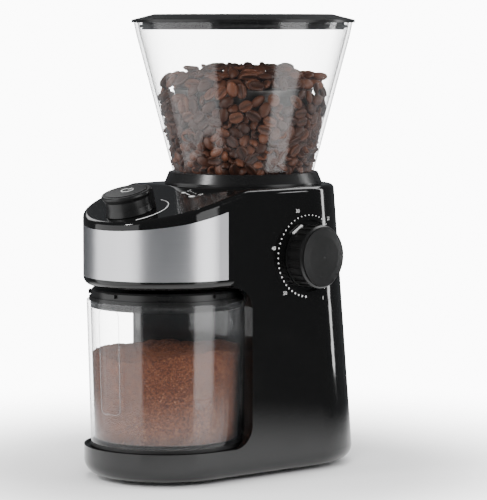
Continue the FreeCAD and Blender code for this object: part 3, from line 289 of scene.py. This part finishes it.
def ground_steel(name, low, high, size_mm):
    """Hard steel with grinding lines."""
    r = Recipe(name)
    lines = r.streaks(0.25 / size_mm, 3 / size_mm, 3 / size_mm, 4, 0.6)
    stain = r.grain(7, 3)
    base = r.blended(lines * 0.7 + stain * 0.3, low, high)
    rough = 0.24 + lines * 0.2 + stain * 0.08
    return r.done(r.surface(
        base_color=base, metallic=1.0, roughness=rough, normal=r.bumped(lines, 0.02, 0.5),
    ))


def rotor_iron():
    """Stacked laminations."""
    r = Recipe("rotor_iron")
    sheets = r.node("TexWave", {"bands_direction": "Z"}, {
        "Vector": r.place, "Scale": 320.0, "Distortion": 0.2, "Detail": 1.0,
    }, 1)
    rust = r.grain(3, 4)
    base = r.blended(sheets * 0.6 + rust * 0.4, (0.13, 0.12, 0.11), (0.4, 0.38, 0.37))
    return r.done(r.surface(
        base_color=base, metallic=1.0, roughness=0.4 + rust * 0.2,
        normal=r.bumped(sheets, 0.05, 0.8),
    ))


def bronze():
    r = Recipe("bronze")
    pores = r.cells(0.7).ramp(0.1, 0.3, 1, 0)
    patch = r.grain(4, 3)
    base = r.blended(patch, (0.42, 0.24, 0.11), (0.62, 0.40, 0.2))
    rough = 0.3 + patch * 0.15 + pores * 0.3
    return r.done(r.surface(
        base_color=base, metallic=1.0, roughness=rough, normal=r.bumped(1 - pores, 0.03, 0.6),
    ))


def ferrite():
    r = Recipe("ferrite")
    speck = r.grain(0.8, 5, 0.7)
    base = r.blended(speck, grey(0.02), grey(0.075))
    return r.done(r.surface(
        base_color=base, roughness=0.55 + speck * 0.2, normal=r.bumped(speck, 0.04, 0.6),
    ))


def acetal():
    """Off-white gear plastic."""
    r = Recipe("acetal")
    cloud = r.grain(6, 3)
    oil = r.grain(3, 4).ramp(0.55, 0.7)
    base = r.blended(cloud, (0.72, 0.71, 0.66), (0.82, 0.81, 0.78))
    return r.done(r.surface(
        base_color=base, roughness=0.38 - oil * 0.2, normal=r.bumped(cloud, 0.02, 0.3),
    ))


def circuit_board():
    """Green laminate with paths and round lands."""
    r = Recipe("circuit_board")
    paths = r.node("TexBrick", {"offset": 0.37}, {
        "Vector": r.stretched(1, 1, 1), "Scale": 0.16, "Mortar Size": 0.03,
        "Color1": (0, 0, 0, 1), "Color2": (0.2, 0.2, 0.2, 1), "Mortar": (1, 1, 1, 1),
    })
    lands = r.cells(3.4).ramp(0.16, 0.2, 1, 0)
    weave = r.grain(0.9, 2)
    green = r.blended(paths, (0.008, 0.06, 0.02), (0.02, 0.14, 0.05))
    base = r.node("Mix", {"data_type": "RGBA"}, {0: lands, 6: green, 7: (0.55, 0.5, 0.38, 1)}, 2)
    return r.done(r.surface(
        base_color=base, roughness=0.3 + weave * 0.15, metallic=lands * 0.8,
        normal=r.bumped(weave, 0.03, 0.4),
    ))


def ink_white():
    """Pad-printed ink, a little thin in places."""
    r = Recipe("ink_white")
    thin = r.grain(0.5, 4)
    base = r.blended(thin.ramp(0.3, 0.6), (0.42, 0.42, 0.42), (0.8, 0.8, 0.79))
    return r.done(r.surface(
        base_color=base, roughness=0.42 + thin * 0.1, normal=r.bumped(thin, 0.01, 0.4),
    ))


def clear_plastic(name, film_base, film_edge):
    """Clear wall: mirror-like at a glancing look, with fine scuffs. The film is a grey coat,
    film_base all over and film_edge more at the edges; a faint film tints a plain wall, and the
    heavy film on the embossing is painted shade."""
    r = Recipe(name)
    scuffs = r.streaks(0.05, 0.05, 1.4, 4, 0.3).ramp(0.62, 0.8)
    haze = r.grain(30, 3).ramp(0.45, 0.8)
    normal = r.bumped(r.grain(22, 1), 0.05, 0.3)
    facing = r.node("LayerWeight", {}, {"Blend": 0.5}, 1)
    seen = r.node("BsdfTransparent", {}, {"Color": with_alpha(grey(0.975))})
    gloss = r.node("BsdfGlossy", {}, {
        "Color": with_alpha(grey(1.0)), "Roughness": 0.10 + haze * 0.06, "Normal": normal,
    })
    wall = r.mixed(facing ** 5 * 0.9 + 0.04, seen, gloss)
    film = r.surface(base_color=(0.30, 0.31, 0.32), roughness=0.25)
    amount = facing ** 3 * film_edge + scuffs * 0.012 + haze * 0.01 + film_base
    return r.done(r.mixed(amount.clipped(), wall, film))


def bean_skin():
    """Roasted bean: each has its own tone and an oily bloom, and painted shade darkens its crease.
    """
    r = Recipe("bean_skin")
    roast = r.node("Attribute", {"attribute_name": "roast"}, {}, "Fac")
    crease = r.node("Attribute", {"attribute_name": "crease"}, {}, "Fac")
    mottle = r.grain(1.6, 4, 0.6)
    fine = r.grain(0.5, 3)
    shade = (roast * 0.75 + mottle * 0.35).clipped()
    skin = r.node("ValToRGB", {"stops": [
        (0.0, (0.016, 0.0062, 0.0035)), (0.5, (0.05, 0.0175, 0.0088)), (1.0, (0.15, 0.054, 0.026)),
    ]}, {"Fac": shade})
    # painted shade: the crease is mixed toward near black, where shade falls in the groove
    base = r.node("Mix", {"data_type": "RGBA"}, {
        0: crease * 0.9, 6: skin, 7: (0.018, 0.007, 0.004, 1),
    }, 2)
    rough = 0.3 + mottle * 0.22 + crease * 0.2
    return r.done(r.surface(
        base_color=base, roughness=rough, normal=r.bumped(fine, 0.12, 0.5), specular_ior_level=0.5,
    ))


def ground_skin():
    """Medium-ground coffee: dark and rust-coloured grains with a few pale flecks."""
    r = Recipe("ground_skin")
    grains = r.cells(0.75, "F1", 1)
    shade = r.node("RGBToBW", {}, {"Color": grains})
    patch = r.grain(6, 4)
    base = r.node("ValToRGB", {"stops": [
        (0.0, (0.022, 0.007, 0.004)), (0.35, (0.075, 0.023, 0.011)), (0.75, (0.17, 0.06, 0.028)),
        (1.0, (0.36, 0.16, 0.085)),
    ]}, {"Fac": (shade * 0.8 + patch * 0.4 - 0.1).clipped()})
    height = r.cells(0.75, "F1")
    normal = r.bumped(1 - height, 0.45, 1.0, r.bumped(r.grain(2.4, 4), 0.6, 0.8))
    return r.done(r.surface(base_color=base, roughness=0.75 + shade * 0.15, normal=normal))


def floor_paint(radius):
    """A pale matte floor which clears away into the backdrop."""
    r = Recipe("floor_paint")
    grit = r.grain(2, 3)
    away = r.node("VectorMath", {"operation": "LENGTH"}, {0: r.place}, 1)
    base = r.blended(grit, grey(0.90), grey(0.93))
    matte = r.surface(base_color=base, roughness=0.7, normal=r.bumped(grit, 0.05, 0.2),
                      specular_ior_level=0.2)
    return r.done(r.mixed(away.ramp(radius * 0.26, radius * 0.92),
                          matte, r.node("BsdfTransparent", {}, {})))


finishes = {
    "body_gloss_black": gloss_black(),
    "brushed_band": brushed_band(),
    "base_matte_black": matte_black(),
    "rubber_black": rubber(),
    "zinc_steel": zinc_steel(),
    "inner_black": inner_black(),
    "circuit_board": circuit_board(),
    "white_acetal": acetal(),
    "bronze": bronze(),
    "ferrite": ferrite(),
    "clear_smoke": clear_plastic("clear_smoke", 0.004, 0.30),
    "lid_black": lid_black(),
    "dial_satin_black": satin_black(),
    "print_white": ink_white(),
    "carrier_satin": satin_black(),
    "burr_steel": ground_steel("burr_steel", (0.30, 0.30, 0.31), (0.56, 0.56, 0.57), 0.8),
    "wire_steel": ground_steel("wire_steel", (0.5, 0.5, 0.5), (0.72, 0.72, 0.73), 0.5),
    "rotor_iron": rotor_iron(),
}

for part in frame["record"]["subparts"]:
    shown = frame["nodes"][part["node"]]
    for place in range(max(1, len(shown.material_slots))):
        if shown.material_slots:
            shown.material_slots[place].material = finishes[part["material_slot"]]
        else:
            shown.data.materials.append(finishes[part["material_slot"]])


# ------------------------------------------------------------- small mesh tools

def middle(node):
    low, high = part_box(node)
    return (low + high) / 2


def new_piece(name, vertices, faces, finish, body, smooth=True):
    mesh = bpy.data.meshes.new(name)
    mesh.from_pydata([tuple(v) for v in vertices], [], faces)
    mesh.update()
    piece = bpy.data.objects.new(name, mesh)
    bpy.context.scene.collection.objects.link(piece)
    mesh.materials.append(finish)
    mesh.polygons.foreach_set("use_smooth", [smooth] * len(mesh.polygons))
    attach(piece, body)
    return piece


class Sheet:
    """A face of the object for prints: u and v run along it in mm, and h is the height over it."""

    clearance = 30

    def __init__(self, nodes, origin, across, up):
        self.origin = Vector(origin)
        self.across = Vector(across).normalized()
        self.up = Vector(up).normalized()
        self.out = self.across.cross(self.up)
        vertices, faces = [], []
        for name in nodes:
            mesh = frame["nodes"][name].data
            start = len(vertices)
            vertices += [v.co.copy() for v in mesh.vertices]
            faces += [[start + i for i in p.vertices] for p in mesh.polygons]
        self.skin = BVHTree.FromPolygons(vertices, faces)

    def aim(self, u, v):
        """Where a ray towards the face starts, and its direction."""
        place = self.origin + (self.across * u + self.up * v) * MM
        return place + self.out * self.clearance * MM, -self.out

    def at(self, u, v, h):
        start, direction = self.aim(u, v)
        hit = self.skin.ray_cast(start, direction)[0]
        if hit is None:
            raise ValueError(f"nothing lies under the print at {u:.1f}, {v:.1f}")
        return hit - direction * h * MM


class Drum(Sheet):
    """The outside of a round wall about an upright axis: u is in degrees, v is the height in mm."""

    clearance = 90

    def aim(self, u, v):
        turn = math.radians(u)
        outward = Vector((math.cos(turn), math.sin(turn), 0))
        start = Vector((self.origin.x, self.origin.y, v * MM)) + outward * self.clearance * MM
        return start, -outward


class Print:
    """Raised strokes and dots gathered into one piece."""

    sunk = 0.02
    flat_share = 0.82
    dot_sides = 12
    dot_flat_share = 0.85

    def __init__(self, sheet, height=0.05):
        self.sheet = sheet
        self.height = height
        self.vertices = []
        self.faces = []

    def stroke(self, points, width, closed=False):
        """A line with flat top and sloped sides. width is one number, or a start and an end."""
        first, last = width if isinstance(width, tuple) else (width, width)
        count = len(points)
        start = len(self.vertices)
        for i, (u, v) in enumerate(points):
            before = points[i - 1] if i or closed else points[0]
            after = points[(i + 1) % count] if i < count - 1 or closed else points[-1]
            du, dv = after[0] - before[0], after[1] - before[1]
            size = math.hypot(du, dv) or 1
            nu, nv = -dv / size, du / size
            half = (first + (last - first) * i / max(1, count - 1)) / 2
            edge = half * self.flat_share
            for side, lift in ((half, -self.sunk), (edge, self.height),
                               (-edge, self.height), (-half, -self.sunk)):
                self.vertices.append(self.sheet.at(u + nu * side, v + nv * side, lift))
        for i in range(count if closed else count - 1):
            a, b = start + 4 * i, start + 4 * ((i + 1) % count)
            self.faces += [(a + k, b + k, b + k + 1, a + k + 1) for k in range(3)]
        if not closed:
            a = start + 4 * (count - 1)
            self.faces += [(start, start + 1, start + 2, start + 3), (a + 3, a + 2, a + 1, a)]
        return self

    def dot(self, u, v, radius):
        start = len(self.vertices)
        sides = self.dot_sides
        for share, lift in ((1, -self.sunk), (self.dot_flat_share, self.height)):
            for i in range(sides):
                turn = 2 * math.pi * i / sides
                self.vertices.append(self.sheet.at(
                    u + radius * share * math.cos(turn), v + radius * share * math.sin(turn), lift))
        for i in range(sides):
            j = (i + 1) % sides
            self.faces.append((start + i, start + j, start + sides + j, start + sides + i))
        self.faces.append(tuple(start + sides + i for i in range(sides)))
        return self

    def figures(self, text, u, v, size):
        """Numerals about that high in mm, centred on u, v."""
        curve = bpy.data.curves.new("figures", "FONT")
        curve.body = text
        curve.align_x = curve.align_y = "CENTER"
        curve.size = size * 1.4
        curve.resolution_u = 3
        holder = bpy.data.objects.new("figures", curve)
        bpy.context.scene.collection.objects.link(holder)
        bpy.context.view_layer.update()
        mesh = bpy.data.meshes.new_from_object(holder)
        start = len(self.vertices)
        for vertex in mesh.vertices:
            self.vertices.append(self.sheet.at(u + vertex.co.x, v + vertex.co.y, self.height))
        self.faces += [tuple(start + i for i in p.vertices) for p in mesh.polygons]
        bpy.data.objects.remove(holder)
        bpy.data.curves.remove(curve)
        bpy.data.meshes.remove(mesh)
        return self

    def piece(self, name, finish, body, slot_name):
        return new_piece(name, self.vertices, self.faces, finish, body, smooth=False)


def arc(u, v, radius, start, end, steps):
    """Points round a centre, with the angles in degrees."""
    turns = [math.radians(start + (end - start) * i / steps) for i in range(steps + 1)]
    return [(u + radius * math.cos(t), v + radius * math.sin(t)) for t in turns]


def round_frame(u, v, width, height, corner, stretch=1.0, steps=8):
    """A rounded rectangle's outline. stretch scales it along u, as degrees on a drum need."""
    points = []
    for cu, cv, start in ((1, 1, 0), (-1, 1, 90), (-1, -1, 180), (1, -1, 270)):
        centre_u, centre_v = cu * (width / 2 - corner), cv * (height / 2 - corner)
        for x, y in arc(centre_u, centre_v, corner, start, start + 90, steps):
            points.append((u + x * stretch, v + y))
    return points


def straight(first, last, steps):
    return [(first[0] + (last[0] - first[0]) * i / steps,
             first[1] + (last[1] - first[1]) * i / steps) for i in range(steps + 1)]


def lathed(name, profile, around, finish, body, axis, rough=lambda x, y, ring: 0):
    """A turned form. profile is (radius, height) in mm, from the bottom's edge to the top's
    middle, and rough is what is added to the height of each point."""
    points = []
    for ring, (radius, height) in enumerate(profile):
        for i in range(around):
            turn = 2 * math.pi * i / around
            x, y = radius * math.cos(turn), radius * math.sin(turn)
            points.append((axis.x + x * MM, axis.y + y * MM, (height + rough(x, y, ring)) * MM))
    faces = []
    for ring in range(len(profile) - 1):
        for i in range(around):
            a, b = ring * around + i, ring * around + (i + 1) % around
            faces.append((a, b, b + around, a + around))
    faces.append(tuple(reversed(range(around))))
    faces.append(tuple((len(profile) - 1) * around + i for i in range(around)))
    return new_piece(name, points, faces, finish, body)


# ------------------------------------------------------------ beans in the hopper

# one bean: its half sizes, how blunt it is in plan, its flat side and its crease
bean_half = (5.5, 4.0, 2.8)
bean_bluntness = 0.85
bean_tip, bean_tip_height = 5.6, 0.2
flat_height = 1.15
crease_half_width, crease_depth = 1.4, 1.7
crease_sway, sway_turn_per_mm = 0.35, 0.9
bean_lift = 0.6

# how beans settle: as balls, with a search for neighbours every few steps
ball_radius, ball_spread = 3.3, 2.2
near_beans = 14
drop_steps, fast_steps, steps_between_searches = 260, 180, 12
fast_fall, slow_fall = 0.35, 0.05
crowding = 0.6
turn_ease = 10

# the room that they fill: the hopper's inner cone, its floor, a domed top and the core
bean_count = 930
cone_bottom, cone_rise = 208.8, 79.2
cone_low_radius, cone_high_radius = 47.5, 68.4
bean_floor, bean_top = 209.4, 287.0
start_reach = 80
heap_room, dome_room, dome_drop, dome_radius = 12, 13, 15, 66
core_inset, core_top = 13.0, 268.0
top_layer_gap, most_roll = 6, 38


def wall_at(z):
    """The radius of the hopper's inner face at that height."""
    return cone_low_radius + (cone_high_radius - cone_low_radius) * (z - cone_bottom) / cone_rise


def bean_shape(around=16, along=8):
    """One bean: x is its length, z its thickness, and its flat side with the crease faces +z.
    Returns points, faces and how deep in the crease each point is."""
    half_length, half_width, half_thickness = bean_half
    points, creases = [], []
    for i in range(1, along):
        polar = math.pi * i / along
        for j in range(around):
            turn = 2 * math.pi * j / around
            x = half_length * math.cos(polar)
            y = half_width * math.sin(polar) ** bean_bluntness * math.cos(turn)
            z = half_thickness * math.sin(polar) * math.sin(turn)
            crease = 0.0
            if z > 0:
                z = min(z, flat_height)
                bend = crease_sway * math.sin(x * sway_turn_per_mm)
                across = max(0.0, 1 - abs(y - bend) / crease_half_width)
                crease = across * max(0.0, 1 - abs(x / bean_tip) ** 6)
                z -= crease_depth * crease
            points.append((x, y, z + bean_lift))
            creases.append(crease)
    tips = len(points)
    points += [(bean_tip, 0, bean_tip_height), (-bean_tip, 0, bean_tip_height)]
    creases += [0.0, 0.0]
    faces = []
    for i in range(along - 2):
        for j in range(around):
            a, b = i * around + j, i * around + (j + 1) % around
            faces.append((a, b, b + around, a + around))
    last = (along - 2) * around
    for j in range(around):
        k = (j + 1) % around
        faces.append((k, j, tips))
        faces.append((last + j, last + k, tips + 1))
    return np.array(points), faces, np.array(creases)


def scattered_beans(random):
    """Starting places in the room between the wall, the core and a low dome."""
    centres = []
    while len(centres) < bean_count:
        x, y = random.uniform(-start_reach, start_reach, 2)
        z = random.uniform(bean_floor + ball_radius, bean_top + heap_room)
        out = math.hypot(x, y)
        inside = out < wall_at(z) - ball_radius
        inside = inside and z < bean_top + dome_room - dome_drop * (out / dome_radius) ** 2
        over_core = z > core_top + ball_radius
        if inside and (over_core or out > wall_at(z) - core_inset + ball_radius):
            centres.append((x, y, z))
    return np.array(centres)


def part_balls(balls, pairs, slots, shift, twist, hits):
    """Push the balls of neighbouring beans apart, each by half of what they overlap."""
    first, second = pairs
    for i in range(3):
        for j in range(3):
            apart = balls[first, i] - balls[second, j]
            size = np.linalg.norm(apart, axis=1) + 1e-9
            deep = np.maximum(0, 2 * ball_radius - size)
            push = apart / size[:, None] * (deep * 0.5)[:, None]
            np.add.at(shift, first, push)
            np.add.at(shift, second, -push)
            np.add.at(twist, first, push * slots[i])
            np.add.at(twist, second, -push * slots[j])
            np.add.at(hits, first, deep > 0)
            np.add.at(hits, second, deep > 0)


def keep_inside(balls, slots, shift, twist):
    """Push the balls off the hopper's wall, its floor and the core."""
    slope = (wall_at(bean_floor + 50) - wall_at(bean_floor)) / 50
    lean = math.hypot(1, slope)
    for i in range(3):
        ball = balls[:, i]
        out = np.linalg.norm(ball[:, :2], axis=1) + 1e-9
        radial = np.column_stack([ball[:, :2] / out[:, None], np.zeros(len(ball))])
        over = np.maximum(0, (out - wall_at(ball[:, 2])) / lean + ball_radius)
        inward = (-radial + np.array([0, 0, slope])) / lean
        push = inward * over[:, None]
        push[:, 2] += np.maximum(0, bean_floor + ball_radius - ball[:, 2])
        core = wall_at(ball[:, 2]) - core_inset
        buried = np.minimum(core + ball_radius - out, core_top + ball_radius - ball[:, 2])
        sideways = (core - out) < (core_top - ball[:, 2])
        deep = np.maximum(0, buried)
        push += np.where(sideways[:, None], radial * deep[:, None],
                         np.array([0, 0, 1.0]) * deep[:, None])
        shift += push
        twist += push * slots[i]


def settled_beans(random):
    """Let beans drop between the hopper's wall and the core, each as three balls in a row."""
    centres = scattered_beans(random)
    axes = random.normal(size=(bean_count, 3))
    axes /= np.linalg.norm(axes, axis=1)[:, None]
    slots = np.array([-ball_spread, 0.0, ball_spread])
    for step in range(drop_steps):
        if step % steps_between_searches == 0:
            gaps = np.linalg.norm(centres[:, None] - centres[None], axis=2)
            pairs = np.nonzero(np.triu(gaps < near_beans, 1))
        centres[:, 2] -= fast_fall if step < fast_steps else slow_fall
        shift = np.zeros_like(centres)
        twist = np.zeros_like(centres)
        hits = np.ones(bean_count)
        balls = centres[:, None] + axes[:, None] * slots[None, :, None]
        part_balls(balls, pairs, slots, shift, twist, hits)
        keep_inside(balls, slots, shift, twist)
        centres += shift / hits[:, None] ** crowding
        axes += twist / (hits[:, None] ** crowding * turn_ease)
        axes /= np.linalg.norm(axes, axis=1)[:, None]
    return centres, axes


def bean_frames(centres, axes, random):
    """Each bean's length, width and thickness directions, with its crease or its back outward."""
    outward = np.column_stack([centres[:, :2], np.zeros(bean_count)])
    top_layer = centres[:, 2] > core_top + top_layer_gap
    outward[top_layer] = (0, 0, 1)
    outward *= np.where(random.random(bean_count) < 0.5, 1, -1)[:, None]
    thick = outward - axes * np.sum(outward * axes, axis=1)[:, None]
    thick /= np.linalg.norm(thick, axis=1)[:, None] + 1e-9
    wide = np.cross(thick, axes)
    roll = np.radians(random.uniform(-most_roll, most_roll, bean_count))[:, None]
    thick, wide = (thick * np.cos(roll) + wide * np.sin(roll),
                   wide * np.cos(roll) - thick * np.sin(roll))
    return np.stack([axes, wide, thick], axis=1)


random = np.random.default_rng(7)
hopper_axis = middle("hopper_bin")
centres, axes = settled_beans(random)
shape, shape_faces, shape_crease = bean_shape()
turned = bean_frames(centres, axes, random)
bean_sizes = random.normal(1.0, 0.05, (bean_count, 1, 3)).clip(0.88, 1.08)
placed = np.einsum("bpk,bkx->bpx", shape[None] * bean_sizes, turned) + centres[:, None]
placed = placed.reshape(-1, 3) * MM + np.array([hopper_axis.x, hopper_axis.y, 0])
bean_points = len(shape)
bean_faces = [tuple(i * bean_points + k for k in face)
              for i in range(bean_count) for face in shape_faces]
beans = new_piece("coffee_beans", placed, bean_faces, bean_skin(), "hopper")
roasts = np.repeat(random.beta(2.2, 2.2, bean_count), bean_points)
for name, values in (("roast", roasts), ("crease", np.tile(shape_crease, bean_count))):
    attribute = beans.data.attributes.new(name, "FLOAT", "POINT")
    attribute.data.foreach_set("value", values.astype("f"))

# a hidden core, a little smaller than the room left for it
core_gap, core_drop = 13.4, 0.5
core_profile = [(wall_at(z) - core_gap, z) for z in (211, 230, 250, 260, 266)]
core_profile += [(radius, core_top - core_drop) for radius in (50, 35, 18, 2)]
lathed("bean_core", core_profile, 64, finishes["rotor_iron"], "hopper", hopper_axis)


# ------------------------------------------------------------------ dial scale

dial_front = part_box("dial_knob")[1].x
dial = middle("dial_shaft")
side = Sheet(["main_housing"], (dial_front, dial.y, dial.z), (0, 1, 0), (0, 0, 1))
scale = Print(side, 0.06)
dots, dots_radius = 46, 28.4
first_dot, dots_sweep = -57, 321
smallest_dot, dot_growth = 0.28, 0.5
figures_radius, dial_figure_height = 33.2, 2.6
for i in range(dots + 1):
    share = i / dots
    turn = math.radians(first_dot + dots_sweep * share)
    scale.dot(dots_radius * math.cos(turn), dots_radius * math.sin(turn),
              smallest_dot + dot_growth * share)
for label, degrees in (("1", -66), ("10", -12), ("20", 48), ("30", 108), ("40", 168), ("50", 228)):
    turn = math.radians(degrees)
    scale.figures(label, figures_radius * math.cos(turn), figures_radius * math.sin(turn),
                  dial_figure_height)
scale.piece("dial_scale", finishes["print_white"], "housing", "print_white")


# ---------------------------------------------------------------- deck markings

deck_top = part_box("top_deck")[1].z
knob = middle("selector_shaft")
deck = Sheet(["top_deck"], (0, knob.y + 1.5 * MM, deck_top), (1, 0, 0), (0, 1, 0))
marks = Print(deck)
knob_arc_radius, knob_arc_widths = 25.5, (1.3, 0.3)
deck_figure_height = 3.0
marks.stroke(arc(0, 0, knob_arc_radius, -36, 84, 60), knob_arc_widths)


def cup(u, v, size):
    """A plain cup with its handle."""
    marks.stroke(straight((u - size, v), (u + size, v), 4), size * 1.5)
    marks.stroke(arc(u + size, v, size * 0.55, -80, 80, 8), 0.4)


cup(8.5, 41.5, 1.3)
cup(22.5, 35.5, 1.9)
marks.stroke(straight((12, 40.5), (19, 37.5), 6), 0.5)
marks.figures("2", 9.5, 46, deck_figure_height).figures("12", 26.5, 40, deck_figure_height)
for share in (0, 0.5, 1):
    marks.dot(13 + 8 * share, 44.5 - 3.4 * share, 0.5)
marks.piece("deck_markings", finishes["print_white"], "housing", "print_white")

deck_tilt = math.radians(15.12)
button_low, button_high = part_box("start_button")
button = Sheet(["start_button"], (0, (button_low.y + button_high.y) / 2, button_high.z),
               (1, 0, 0), (0, math.cos(deck_tilt), math.sin(deck_tilt)))
symbol_radius, symbol_stroke = 4.1, 0.75
symbol_gap, symbol_top = 1.2, 5.0
power = Print(button)
power.stroke(arc(0, 0, symbol_radius, 125, 415, 40), symbol_stroke)
power.stroke(straight((0, symbol_gap), (0, symbol_top), 5), symbol_stroke)
power.piece("start_symbol", finishes["print_white"], "start", "print_white")


# --------------------------------------------------------------- jar embossing

jar_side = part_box("container_jar")[1].x
jar = middle("container_jar")
wall = Drum(["container_jar"], jar, (1, 0, 0), (0, 0, 1))
per_mm = math.degrees(MM / (jar_side * 0.98))
frame_turn, frame_centre, frame_stroke = -90, 84, 0.75
arrow_turn, arrow_centre, arrow_radius, arrow_stroke = 5, 100, 13, 0.6
arrow_head = ((5.6, 108), (6.4, 111.4), (2.8, 112))
emboss = Print(wall, 0.35)
emboss.stroke(round_frame(frame_turn, frame_centre, 19, 72, 4.5, per_mm),
              frame_stroke * per_mm, closed=True)
arrow_arc = arc(0, arrow_centre, arrow_radius, 62, 118, 16)
for points in (arrow_arc, arrow_head):
    emboss.stroke([(u * per_mm + arrow_turn, v) for u, v in points], arrow_stroke * per_mm)
# painted shade: the embossing is coated far greyer than the wall, standing in for the dark outline
# its clear ribs show
emboss.piece("jar_embossing", clear_plastic("embossing_painted_shade", 0.30, 0.3),
             "container", "clear_smoke")


# -------------------------------------------------------------- ground coffee

heap_bottom, heap_top = 28.3, 88.0
heap_base_radius, heap_top_radius = 49.3, 51.2
side_steps, top_steps = 6, 40
heap_hump = 3.5
heap_lumps = ((5.5, 0.028, 4.1), (1.6, 0.16, 1.7), (0.7, 0.7, 9.3))


def heap_height(x, y, ring):
    """Uneven top: a broad hump with a slope towards the wall, and loose lumps."""
    if ring < side_steps:
        return 0
    height = heap_hump * (1 - math.hypot(x, y) / heap_top_radius)
    for depth, fineness, seed in heap_lumps:
        height += depth * noise.noise(Vector((x * fineness, y * fineness, seed)))
    return height


heap_profile = [(heap_base_radius + (heap_top_radius - heap_base_radius) * i / side_steps,
                 heap_bottom + (heap_top - heap_bottom) * i / side_steps)
                for i in range(side_steps + 1)]
heap_profile += [(heap_top_radius * (1 - i / top_steps) + 0.4, heap_top)
                 for i in range(1, top_steps + 1)]
lathed("ground_coffee", heap_profile, 160, ground_skin(), "container", jar, heap_height)


# ----------------------------------------------------------------------- camera

def aimed(thing, target):
    thing.rotation_euler = (Vector(target) - thing.location).to_track_quat("-Z", "Y").to_euler()


box_low, box_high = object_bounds()
heart = Vector((0.0138, 0.0135, (box_high[2] + box_low[2]) / 2 - 0.0057))
camera_turn, camera_rise = math.radians(44.379), math.radians(4.909)
camera_distance, camera_lens = 1.8503, 189.08
camera = bpy.data.cameras.new("camera")
camera.lens = camera_lens
view = bpy.data.objects.new("camera", camera)
bpy.context.scene.collection.objects.link(view)
view.location = heart + camera_distance * Vector((
    math.sin(camera_turn) * math.cos(camera_rise),
    -math.cos(camera_turn) * math.cos(camera_rise),
    math.sin(camera_rise),
))
aimed(view, heart)
bpy.context.scene.camera = view


# ----------------------------------------------------------------------- lights

light_target = (0, -0.02, 0.17)


def ringed(azimuth, distance, height):
    """A place on a ring about the object, with the azimuth in degrees from +X."""
    turned = math.radians(azimuth)
    return (distance * math.cos(turned), distance * math.sin(turned), height)


def softbox(name, place, width, height, power):
    light = bpy.data.lights.new(name, "AREA")
    light.shape = "RECTANGLE"
    light.size, light.size_y = width, height
    light.energy = power
    lamp = bpy.data.objects.new(name, light)
    bpy.context.scene.collection.objects.link(lamp)
    lamp.location = place
    aimed(lamp, light_target)
    lamp.visible_camera = False
    return lamp


for name, place, width, height, watts in (
    ("left_panel", ringed(-118, 1.25, 0.0), 1.9, 1.4, 14),
    ("right_panel", ringed(12, 1.3, 0.0), 0.75, 1.4, 8.5),
    ("rear_strip", ringed(66, 1.1, 0.40), 0.10, 0.9, 3),
    ("rear_over", (0.10, 0.70, 1.0), 0.7, 0.6, 7),
    ("rear_left", ringed(163, 1.2, 0.85), 0.6, 0.3, 1.6),
    ("spark", (-0.35, -1.15, 1.0), 0.16, 0.16, 7),
):
    softbox(name, place, width, height, watts)

fill_size = 0.7
for name, place, watts in (
    ("front_fill", ringed(-50, 1.3, 0.75), 20), ("left_fill", ringed(-140, 1.2, 0.6), 10),
    ("right_fill", ringed(20, 1.2, 0.7), 8), ("over_fill", (0, 0, 1.4), 14),
):
    softbox(name, place, fill_size, fill_size, watts).visible_glossy = False


# ------------------------------------------------------------- floor and backdrop

floor_radius, floor_drop, floor_corners = 0.5, 0.0002, 64
floor = bpy.data.meshes.new("floor")
corner_turns = [2 * math.pi * i / floor_corners for i in range(floor_corners)]
corners = [(floor_radius * math.cos(turn), floor_radius * math.sin(turn), -floor_drop)
           for turn in corner_turns]
floor.from_pydata(corners, [], [tuple(range(floor_corners))])
floor.materials.append(floor_paint(floor_radius))
ground = bpy.data.objects.new("floor", floor)
bpy.context.scene.collection.objects.link(ground)

backdrop_strength, room_strength = 11.0, 0.10
world = bpy.data.worlds.new("studio")
world.use_nodes = True
bpy.context.scene.world = world
tree = world.node_tree
tree.nodes.clear()
out = tree.nodes.new("ShaderNodeOutputWorld")
mix = tree.nodes.new("ShaderNodeMixShader")
path = tree.nodes.new("ShaderNodeLightPath")
tree.links.new(path.outputs["Is Camera Ray"], mix.inputs[0])
for place, colour, strength in (
    (1, (0.9, 0.95, 1, 1), room_strength), (2, (1, 1, 1, 1), backdrop_strength),
):
    shade = tree.nodes.new("ShaderNodeBackground")
    shade.inputs["Color"].default_value = colour
    shade.inputs["Strength"].default_value = strength
    tree.links.new(shade.outputs[0], mix.inputs[place])
tree.links.new(mix.outputs[0], out.inputs["Surface"])
